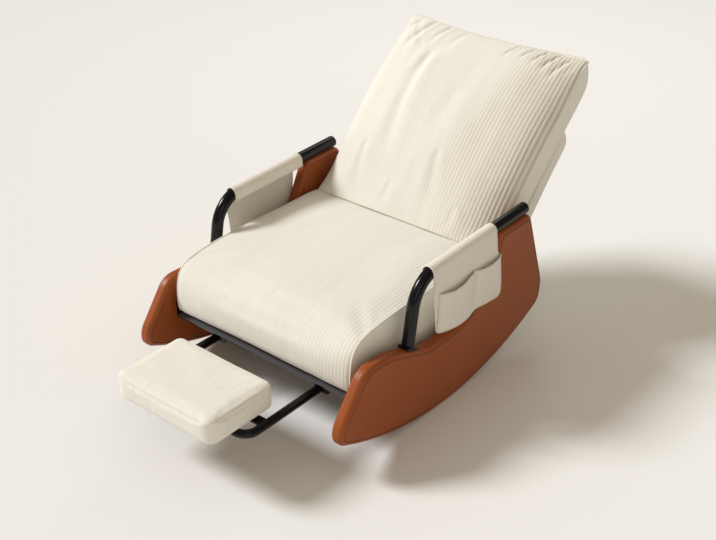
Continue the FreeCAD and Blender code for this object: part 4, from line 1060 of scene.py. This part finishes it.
footrestPad = {
    "half": (mm(162.0), mm(107.0), mm(32.5)),
    "middle": (0.0, mm(-571.0), mm(181.4)),
    "corner": mm(26.0),
    "edges": (mm(10.0), mm(6.0)),
    "crown": mm(3.0),
    "heldHeight": mm(2.0),
    # height of the side seam, its half width and how far it stands out
    "seam": (mm(57.5), mm(1.3), mm(0.9)),
    # the waves start this high and are full after the second measure
    "flatBelow": (mm(3.0), mm(10.0)),
    "waves": [((1.0, 1.0, 1.0), 0.12, 21, mm(0.7)), ((1.0, 1.0, 1.0), 0.035, 23, mm(0.2))],
    "puff": {"pressure": 2.0, "stiff": 16.0, "bend": 0.5, "frames": 14, "cap": mm(2.5)},
    "fill": 0.9,
}


def makeFootrestPad(s):
    middle = Vector(s["middle"])
    piece = roundedSlab(
        "footrestPadCover", s["half"], lambda side: s["corner"], s["edges"],
        lambda p: Vector(p) + middle, lambda side: s["crown"] if side > 0.99 else 0.0)
    low = middle.z - s["half"][2]
    held = coordinates(piece)[:, 2] < low + s["heldHeight"]
    puffUp(piece, np.nonzero(held)[0].tolist(), s["puff"])
    subdivide(piece)
    points = coordinates(piece)
    normals = vertexNormals(piece)
    flat, over = s["flatBelow"]
    wave = softWaves(points, s["waves"]) * smoothStep((points[:, 2] - low - flat) / over)
    points += normals * wave[:, None]
    height, width, rise = s["seam"]
    ridge = np.exp(-((points[:, 2] - low - height) / width) ** 2) * rise
    points += normals * (ridge * (1 - np.abs(normals[:, 2])))[:, None]
    points[:, 2] = np.maximum(points[:, 2], low)
    setCoordinates(piece, points)
    boxCloth(piece)
    dress(piece, padCloth, "footrest_pad")
    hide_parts("footrest_pad")


backPanel = {
    "half": (mm(283.0), mm(197.5), mm(24.0)),
    "cornerTop": mm(55.0),
    "cornerLow": mm(28.0),
    "edges": (mm(13.0), mm(13.0)),
    "crown": mm(2.5),
    "turn": backTurn + math.radians(3.0),
    "top": mm(561.0),
    "waves": [((1.0, 1.0, 1.0), 0.16, 31, mm(0.6))],
    "fill": 0.95,
}


def makeBackPanel(s):
    _, hy, hz = s["half"]
    _, baseY, baseZ = backToFrame(0, s["top"], 0.0)

    def panelToFrame(p):
        # down from the panel's top edge and back from its front face
        along, out = hy - p[1], p[2] - hz
        return Vector((p[0], baseY - along * math.cos(s["turn"]) - out * math.sin(s["turn"]),
                       baseZ - along * math.sin(s["turn"]) + out * math.cos(s["turn"])))

    piece = roundedSlab(
        "backPanelCover", s["half"], lambda side: s["cornerTop"] if side > 0 else s["cornerLow"],
        s["edges"], panelToFrame, lambda side: s["crown"] if side < -0.99 else 0.0)
    facesOutwards(piece)
    subdivide(piece)
    points = coordinates(piece)
    pushOut(piece, points, vertexNormals(piece), softWaves(points, s["waves"]))
    boxCloth(piece, s["turn"])
    dress(piece, padCloth, "backrest")
    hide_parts("back_panel_front", "back_panel_rear")


rockerPanel = {
    # corners: y, z, radius in mm, from the front tip round by the top to the rear
    "corners": [(-440.6, 0, 0), (-444.0, 140.1, 60), (-350.4, 266.1, 60.8), (-255.1, 262.0, 202.5),
                (-105.3, 207.0, 121.5), (93.8, 207.0, 182.3), (190.4, 405.0, 14.2), (327.9, 405.0, 28.4),
                (413.0, 164.8, 109.4), (384.0, 0, 0)],
    "rocker": (-26.0, 920.0),
    "tips": (29.0, 45.0),
    "middle": 330.0,
    "step": 5.0,
    # rings of the cover from the middle of the edge to the face: inset, distance from the middle, seam shade
    "rings": [(0.35, 0.0, 0), (0.0, 3.0, 0), (0.0, 6.6, 0), (0.8, 9.9, 0), (2.6, 13.0, 0), (5.2, 15.5, 0),
              (8.2, 17.3, 0), (10.6, 18.1, 0.1), (11.7, 18.0, 0.35), (12.5, 17.2, 0.9), (13.0, 16.7, 1.0),
              (13.5, 17.2, 0.9), (14.3, 18.1, 0.3), (16.0, 18.7, 0.05), (20.0, 19.1, 0), (27.0, 19.2, 0)],
    "stitchInset": 17.5,
    "stitchOut": 18.95,
    "stitch": {"Spacing": mm(6.2), "Length": mm(4.0), "Thickness": mm(0.45), "Seed": 4},
    # points on the tips, on small and large corners and on the rocker, and the radius between them
    "fine": {"tip": 16, "small": 12, "large": 22, "rocker": 150, "end": 6, "largeFrom": 100},
    "leastTip": 3.0,
    "leastCorner": 1.5,
}


def panelRing(s, inset):
    # the outline moved inwards, always with the same number of points
    corners = s["corners"]
    fine = s["fine"]
    centre = np.array((s["rocker"][0], s["rocker"][1]))
    big = s["rocker"][1] - inset
    pts = [np.array(c[:2], float) for c in corners]
    lines = []
    for a, b in zip(pts[:-1], pts[1:]):
        run = (b - a) / np.linalg.norm(b - a)
        inward = np.array((run[1], -run[0]))
        lines.append((a + inward * inset, run, inward))

    def tip(line, radius, sign):
        # centre of a circle tangent to a straight end and to the rocker's arc
        r = max(radius - inset, s["leastTip"])
        base = line[0] + line[2] * r - centre
        run = line[1] * sign
        half = base @ run
        mid = centre + base + run * (-half - math.sqrt(max(0.0, half ** 2 - base @ base + (big - r) ** 2)))
        onArc = centre + (mid - centre) / np.linalg.norm(mid - centre) * big
        return mid, onArc, mid - line[2] * r

    def arc(mid, start, end, count):
        a0 = math.atan2(*(start - mid)[::-1])
        a1 = math.atan2(*(end - mid)[::-1])
        turn = (a1 - a0 + math.pi) % (2 * math.pi) - math.pi
        r = np.linalg.norm(start - mid)
        return [mid + r * np.array((math.cos(a0 + turn * k / count), math.sin(a0 + turn * k / count)))
                for k in range(count)]

    def straight(a, b, count):
        return [a + (b - a) * k / count for k in range(count)]

    frontMid, frontArc, last = tip(lines[0], s["tips"][0], 1.0)
    rearMid, rearArc, rearLine = tip(lines[-1], s["tips"][1], -1.0)
    ring = arc(frontMid, frontArc, last, fine["tip"])
    for k in range(1, len(lines)):
        (first, before, _), (second, after, _) = lines[k - 1:k + 1]
        along = np.linalg.solve(np.array((before, -after)).T, second - first)[0]
        corner = first + before * along
        radius = corners[k][2]
        outside = before[0] * after[1] - before[1] * after[0] < 0
        r = max(radius - inset, s["leastCorner"]) if outside else radius + inset
        half = math.acos(max(-1, min(1, -(before @ after)))) / 2
        reach = r / math.tan(half)
        start, end = corner - before * reach, corner + after * reach
        bis = after - before
        mid = corner + bis / np.linalg.norm(bis) * (r / math.sin(half))
        side = np.linalg.norm(pts[k] - pts[k - 1])
        ring += straight(last, start, max(2, round(side / s["step"] / 2)))
        ring += arc(mid, start, end, fine["small"] if radius < fine["largeFrom"] else fine["large"])
        last = end
    ring += straight(last, rearLine, fine["end"])
    ring += arc(rearMid, rearLine, rearArc, fine["tip"])
    ring += arc(centre, rearArc, frontArc, fine["rocker"])
    return np.array(ring)


def makeRockerPanel(s, side, word):
    half = [(panelRing(s, inset), out, shade) for inset, out, shade in s["rings"]]
    layers = [(ring, -out, shade) for ring, out, shade in reversed(half[1:])] + half
    count = len(half[0][0])
    points, shades, faces = [], [], []
    for ring, out, shade in layers:
        points += [(mm(side * (s["middle"] + out)), mm(y), mm(max(z, 0.0))) for y, z in ring]
        shades += [shade] * count
    for a in range(len(layers) - 1):
        for k in range(count):
            n = (k + 1) % count
            faces.append((a * count + k, a * count + n, (a + 1) * count + n, (a + 1) * count + k))
    faces.append(tuple(range(count)))
    faces.append(tuple(reversed(range((len(layers) - 1) * count, len(layers) * count))))
    piece = makeMesh("rockerLeather" + word, points, faces)
    layer = piece.data.attributes.new("seam", "FLOAT", "POINT")
    layer.data.foreach_set("value", np.array(shades, np.float32))
    facesOutwards(piece)
    low = word.lower()
    dress(piece, tanLeather, "chair_frame")
    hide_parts("rocker_leather_inner_" + low, "rocker_leather_outer_" + low,
                "rocker_top_band_" + low, "rocker_tread_band_" + low)
    ring = panelRing(s, s["stitchInset"])
    lines = [([(mm(side * (s["middle"] + out)), mm(y), mm(z)) for y, z in ring], True)
             for out in (-s["stitchOut"], s["stitchOut"])]
    sewOn("rockerStitches" + word, lines, s["stitch"], "stitchThread")


coverStitch = {"Spacing": mm(4.5), "Length": mm(3.0), "Thickness": mm(0.35)}
armCover = {
    "middle": 330.0,
    "tubeFront": (-144.7, 408.8),
    "slope": math.radians(1.6),
    "radius": 17.3,
    "thick": 2.4,
    "front": -100.0,
    "rear": 166.0,
    "innerDrop": 17.0,
    "flapOut": 20.2,
    "slant": 30.0,
    # lower edge of the long flap: y, z
    "hem": [(-90, 260), (-88, 247), (-81, 238), (-62, 230), (-30, 222), (3, 217), (34, 216), (56, 220.5),
            (70, 228), (80, 230), (112, 226), (150, 222), (182, 220.5), (193, 226), (196, 238)],
    "rearEdge": [(196, 236), (193, 270), (188, 310), (182, 345), (172, 356), (168, 375), (166, 400)],
    "frontEdge": [(-90, 260), (-91.5, 290), (-95, 320), (-99, 352), (-101, 378), (-100, 400)],
    # the right cover hangs straight down at its rear edge: z, y
    "straightRear": [(236, 157), (284, 159), (316, 161), (347, 164), (376, 165), (400, 166)],
    "notch": 68.0,
    "widths": {1: 291.0, -1: 266.0},
    "rows": 34,
    "columns": 64,
    "threadLift": 0.1,
    # the flap's waves: the slow one's height, pace and start, the quick one's height, pace along and down
    "waves": ((0.3, 0.05, 1.0), (0.18, 0.11, 0.03)),
    # steps inside, over and outside the tube, and points on the drawn lines
    "sectionSteps": (6, 18, 5),
    "hemPoints": 60,
    "edgePoints": 40,
}
armPocket = {
    "base": 352.2,
    "depth": 11.0,
    "mouth": [(-81, 349), (-66, 348), (-43, 343), (-17, 340.5), (4, 342), (25, 345.5), (44, 350), (64, 353)],
    "mouthRear": [(66, 353), (80, 349), (101, 346), (126, 345), (152, 346), (182, 350)],
    "bottom": [(-86, 248), (-79, 240), (-61, 232.5), (-30, 224.5), (3, 219.5), (34, 218.5), (54, 223),
               (66, 229), (80, 232), (112, 228.5), (150, 224.5), (180, 223), (190, 229)],
    "seam": 66.0,
    "shortRear": 0.70,
    "widths": {1: 276.0, -1: 239.0},
    "thick": 1.8,
    "rows": 30,
    # columns of each bay, and points on the drawn lines
    "bays": {"mouth": 31, "mouthRear": 26},
    "mouthPoints": 40,
    "bottomPoints": 80,
    "threadLift": 0.15,
    # how full a bay is across, and down from the mouth
    "bulgePowers": (0.5, 5, 0.8),
    # a bay's crease: height, pace along, and turn on the way down
    "crease": (0.6, 0.16, 4.0),
    # how much of the way down to the hem eases in and out
    "ease": 0.9,
}


def tubeHeight(s, y):
    return s["tubeFront"][1] + (y - s["tubeFront"][0]) * math.tan(s["slope"])


def wovenGrid(name, points, count, corner, turned, side):
    # faces between columns of count points each; corner(q) gives point q's place on the cloth
    faces, uvs = [], []
    for a in range(len(points) - count):
        if a % count == count - 1:
            continue
        quad = [a, a + count, a + count + 1, a + 1]
        if turned:
            quad = [quad[0], *quad[:0:-1]]
        if side < 0:
            quad.reverse()
        faces.append(tuple(quad))
        uvs.append([corner(q) for q in quad])
    return makeMesh(name, points, faces, uvs)


def finishSheet(piece, s, node):
    modifier = piece.modifiers.new("thick", "SOLIDIFY")
    modifier.thickness = mm(s["thick"])
    modifier.offset = 0.0
    modifier.use_even_offset = True
    takeShape(piece)
    facesOutwards(piece)
    dress(piece, coverCloth, "chair_frame")
    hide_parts(node)


def coverSection(s):
    # the section across the tube: distance out and rise over its centre
    radius = s["radius"]
    inside, above, outside = s["sectionSteps"]
    inner = [(-radius, -s["innerDrop"] * (1 - t)) for t in np.linspace(0, 1, inside + 1)[:-1]]
    over = [(radius * math.cos(a), radius * math.sin(a)) for a in np.radians(np.linspace(180, 0, above + 1))]
    outer = [(radius + (s["flapOut"] - radius) * smoothStep(t), -s["slant"] * t)
             for t in np.linspace(0, 1, outside + 1)[1:]]
    return inner + over + outer


def makeArmCover(s, side, word):
    hem = throughPoints(s["hem"], s["hemPoints"])
    rear, front = [throughPoints(s[key], s["edgePoints"]) for key in ("rearEdge", "frontEdge")]
    straightRear = np.array(s["straightRear"])
    section = coverSection(s)
    rows, columns = s["rows"], s["columns"]
    (slow, slowPace, slowStart), (quick, quickPace, quickSlope) = s["waves"]
    count = len(section) + rows
    points = []
    for i in range(columns + 1):
        share = i / columns
        yTop = s["front"] + (s["rear"] - s["front"]) * share
        column = [(out, yTop, tubeHeight(s, yTop) + rise) for out, rise in section]
        zStart = column[-1][2]
        hemY, hemZ = [np.interp(share * (len(hem) - 1), range(len(hem)), hem[:, axis]) for axis in (0, 1)]
        for j in range(1, rows + 1):
            t = j / rows
            z = zStart + (hemZ - zStart) * t
            frontY = np.interp(z, front[:, 1], front[:, 0])
            rearY = np.interp(z, rear[:, 1], rear[:, 0])
            y = (frontY + (rearY - frontY) * share) * (1 - t ** 3) + hemY * t ** 3
            if side < 0 and y > s["notch"]:
                shorter = np.interp(z, straightRear[:, 0], straightRear[:, 1]) - s["notch"]
                y = s["notch"] + (y - s["notch"]) * shorter / (rearY - s["notch"])
            wave = slow * math.sin(y * slowPace + slowStart) * t
            wave += quick * math.sin(y * quickPace + z * quickSlope)
            column.append((s["flapOut"] + wave, y, z))
        points += [(mm(side * (s["middle"] + out)), mm(y), mm(z)) for out, y, z in column]
    lengths = runLengths(points[:count])
    piece = wovenGrid("armCover" + word, points, count,
                      lambda q: (points[q][1], lengths[q % count]), False, side)
    finishSheet(piece, s, "arm_cover_" + word.lower())
    grid = np.array(points).reshape(columns + 1, count, 3)
    lift = mm(s["thick"] / 2 + s["threadLift"])
    lines = []
    for line in (grid[1, 2:count - 2], grid[-2, 2:count - 2]):
        moved = []
        for p in line:
            dx = abs(p[0] * 1000) - s["middle"]
            dz = p[2] * 1000 - tubeHeight(s, p[1] * 1000)
            n = np.array((side * dx, 0, dz)) if dz > 0 else np.array((side * (1 if dx > 0 else -1), 0, 0))
            moved.append(p + n / np.linalg.norm(n) * lift)
        lines.append((np.array(moved), False))
    inner = grid[:, 1].copy()
    inner[:, 0] -= side * lift
    lines.append((inner[1:-1], False))
    sewOn("armCoverStitches" + word, lines, dict(coverStitch, Seed=6), "paleThread")


def makeArmPocket(s, side, word):
    # columns run from the mouth down to the hem; each bay stands away from the flap
    rows, seam = s["rows"], s["seam"]
    mouth = np.vstack([throughPoints(s[key], s["mouthPoints"]) for key in ("mouth", "mouthRear")])
    bottom = throughPoints(s["bottom"], s["bottomPoints"])
    bays = [(s[key][0][0], s[key][-1][0], count) for key, count in s["bays"].items()]
    tops = np.concatenate([np.linspace(*bay) for bay in bays])
    crease, creasePace, creaseTurn = s["crease"]
    points = []
    shares = np.linspace(0, 1, len(bottom))
    for i, yTop in enumerate(tops):
        zTop = float(np.interp(yTop, mouth[:, 0], mouth[:, 1]))
        lowY, lowZ = [float(np.interp(i / (len(tops) - 1), shares, bottom[:, axis])) for axis in (0, 1)]
        begin, end = (bays[0][0], seam) if yTop < seam else (seam, bays[1][1])
        bay = min(1.0, max(0.0, (yTop - begin) / (end - begin)))
        across = max(0.0, math.sin(math.pi * bay)) ** s["bulgePowers"][0]
        for j in range(rows + 1):
            t = j / rows
            y = yTop + (lowY - yTop) * (s["ease"] * smoothStep(t) + (1 - s["ease"]) * t)
            if side < 0 and y > seam:
                y = seam + (y - seam) * s["shortRear"]
            bulge = s["depth"] * across * (1 - t ** s["bulgePowers"][1]) ** s["bulgePowers"][2]
            fold = crease * math.sin(yTop * creasePace + t * creaseTurn) * across * (1 - t)
            points.append((mm(side * (s["base"] + bulge + fold)), mm(y), mm(zTop + (lowZ - zTop) * t)))
    piece = wovenGrid("armPocket" + word, points, rows + 1, lambda q: points[q][1:], True, side)
    if sum(p.normal.x for p in piece.data.polygons) * side < 0:
        piece.data.flip_normals()
    finishSheet(piece, s, "arm_pocket_" + word.lower())
    grid = np.array(points).reshape(len(tops), rows + 1, 3)
    grid[:, :, 0] += side * mm(s["thick"] / 2 + s["threadLift"])
    last = bays[0][2] - 1
    lines = [grid[1:last, 1], grid[last + 2:-1, 1], grid[last, 1:], grid[last + 2, 1:],
             grid[1, 1:-1], grid[-2, 1:-1], grid[1:-1, -2]]
    sewOn("armPocketStitches" + word, [(line, False) for line in lines], dict(coverStitch, Seed=9),
          "paleThread")


makeSeatCushion(seatCushion)
print("seat cushion made")
makeBackCushion(backCushion)
print("back cushion made")
makeBackPanel(backPanel)
print("back panel made")
makeFootrestPad(footrestPad)
print("footrest pad made")
for side, word in ((1, "Left"), (-1, "Right")):
    makeRockerPanel(rockerPanel, side, word)
    makeArmCover(armCover, side, word)
    makeArmPocket(armPocket, side, word)
print("leather panels and arm covers made")

nodeFinish = {
    "plyWood": "rocker_board back_board footrest_board",
    "blackPaint": "arm_tube arm_foot_plate hinge_plate recline_arm seat_front_bar seat_middle_bar "
                  "seat_rear_bar seat_front_rails seat_rear_rails seat_mount_plates back_cross_tubes "
                  "back_hoop footrest_frame footrest_strap footrest_sleeves footrest_hangers",
    "blackPlastic": "arm_end_cap hinge_washers footrest_glides footrest_bushes footrest_clamps",
    "brushedSteel": "arm_studs hinge_rivet seat_mount_bolts footrest_stop_pins footrest_clamp_screws",
    "wovenStrap": "seat_long_webbing seat_cross_webbing back_fastener_strips",
    "bufferRubber": "footrest_buffers",
}
finishOf = {key: bpy.data.materials[finish] for finish, keys in nodeFinish.items() for key in keys.split()}
for name, piece in nodes.items():
    if not piece.hide_render:
        piece.data.materials.clear()
        piece.data.materials.append(finishOf[name.replace("_left", "").replace("_right", "")])
print("frame finished")
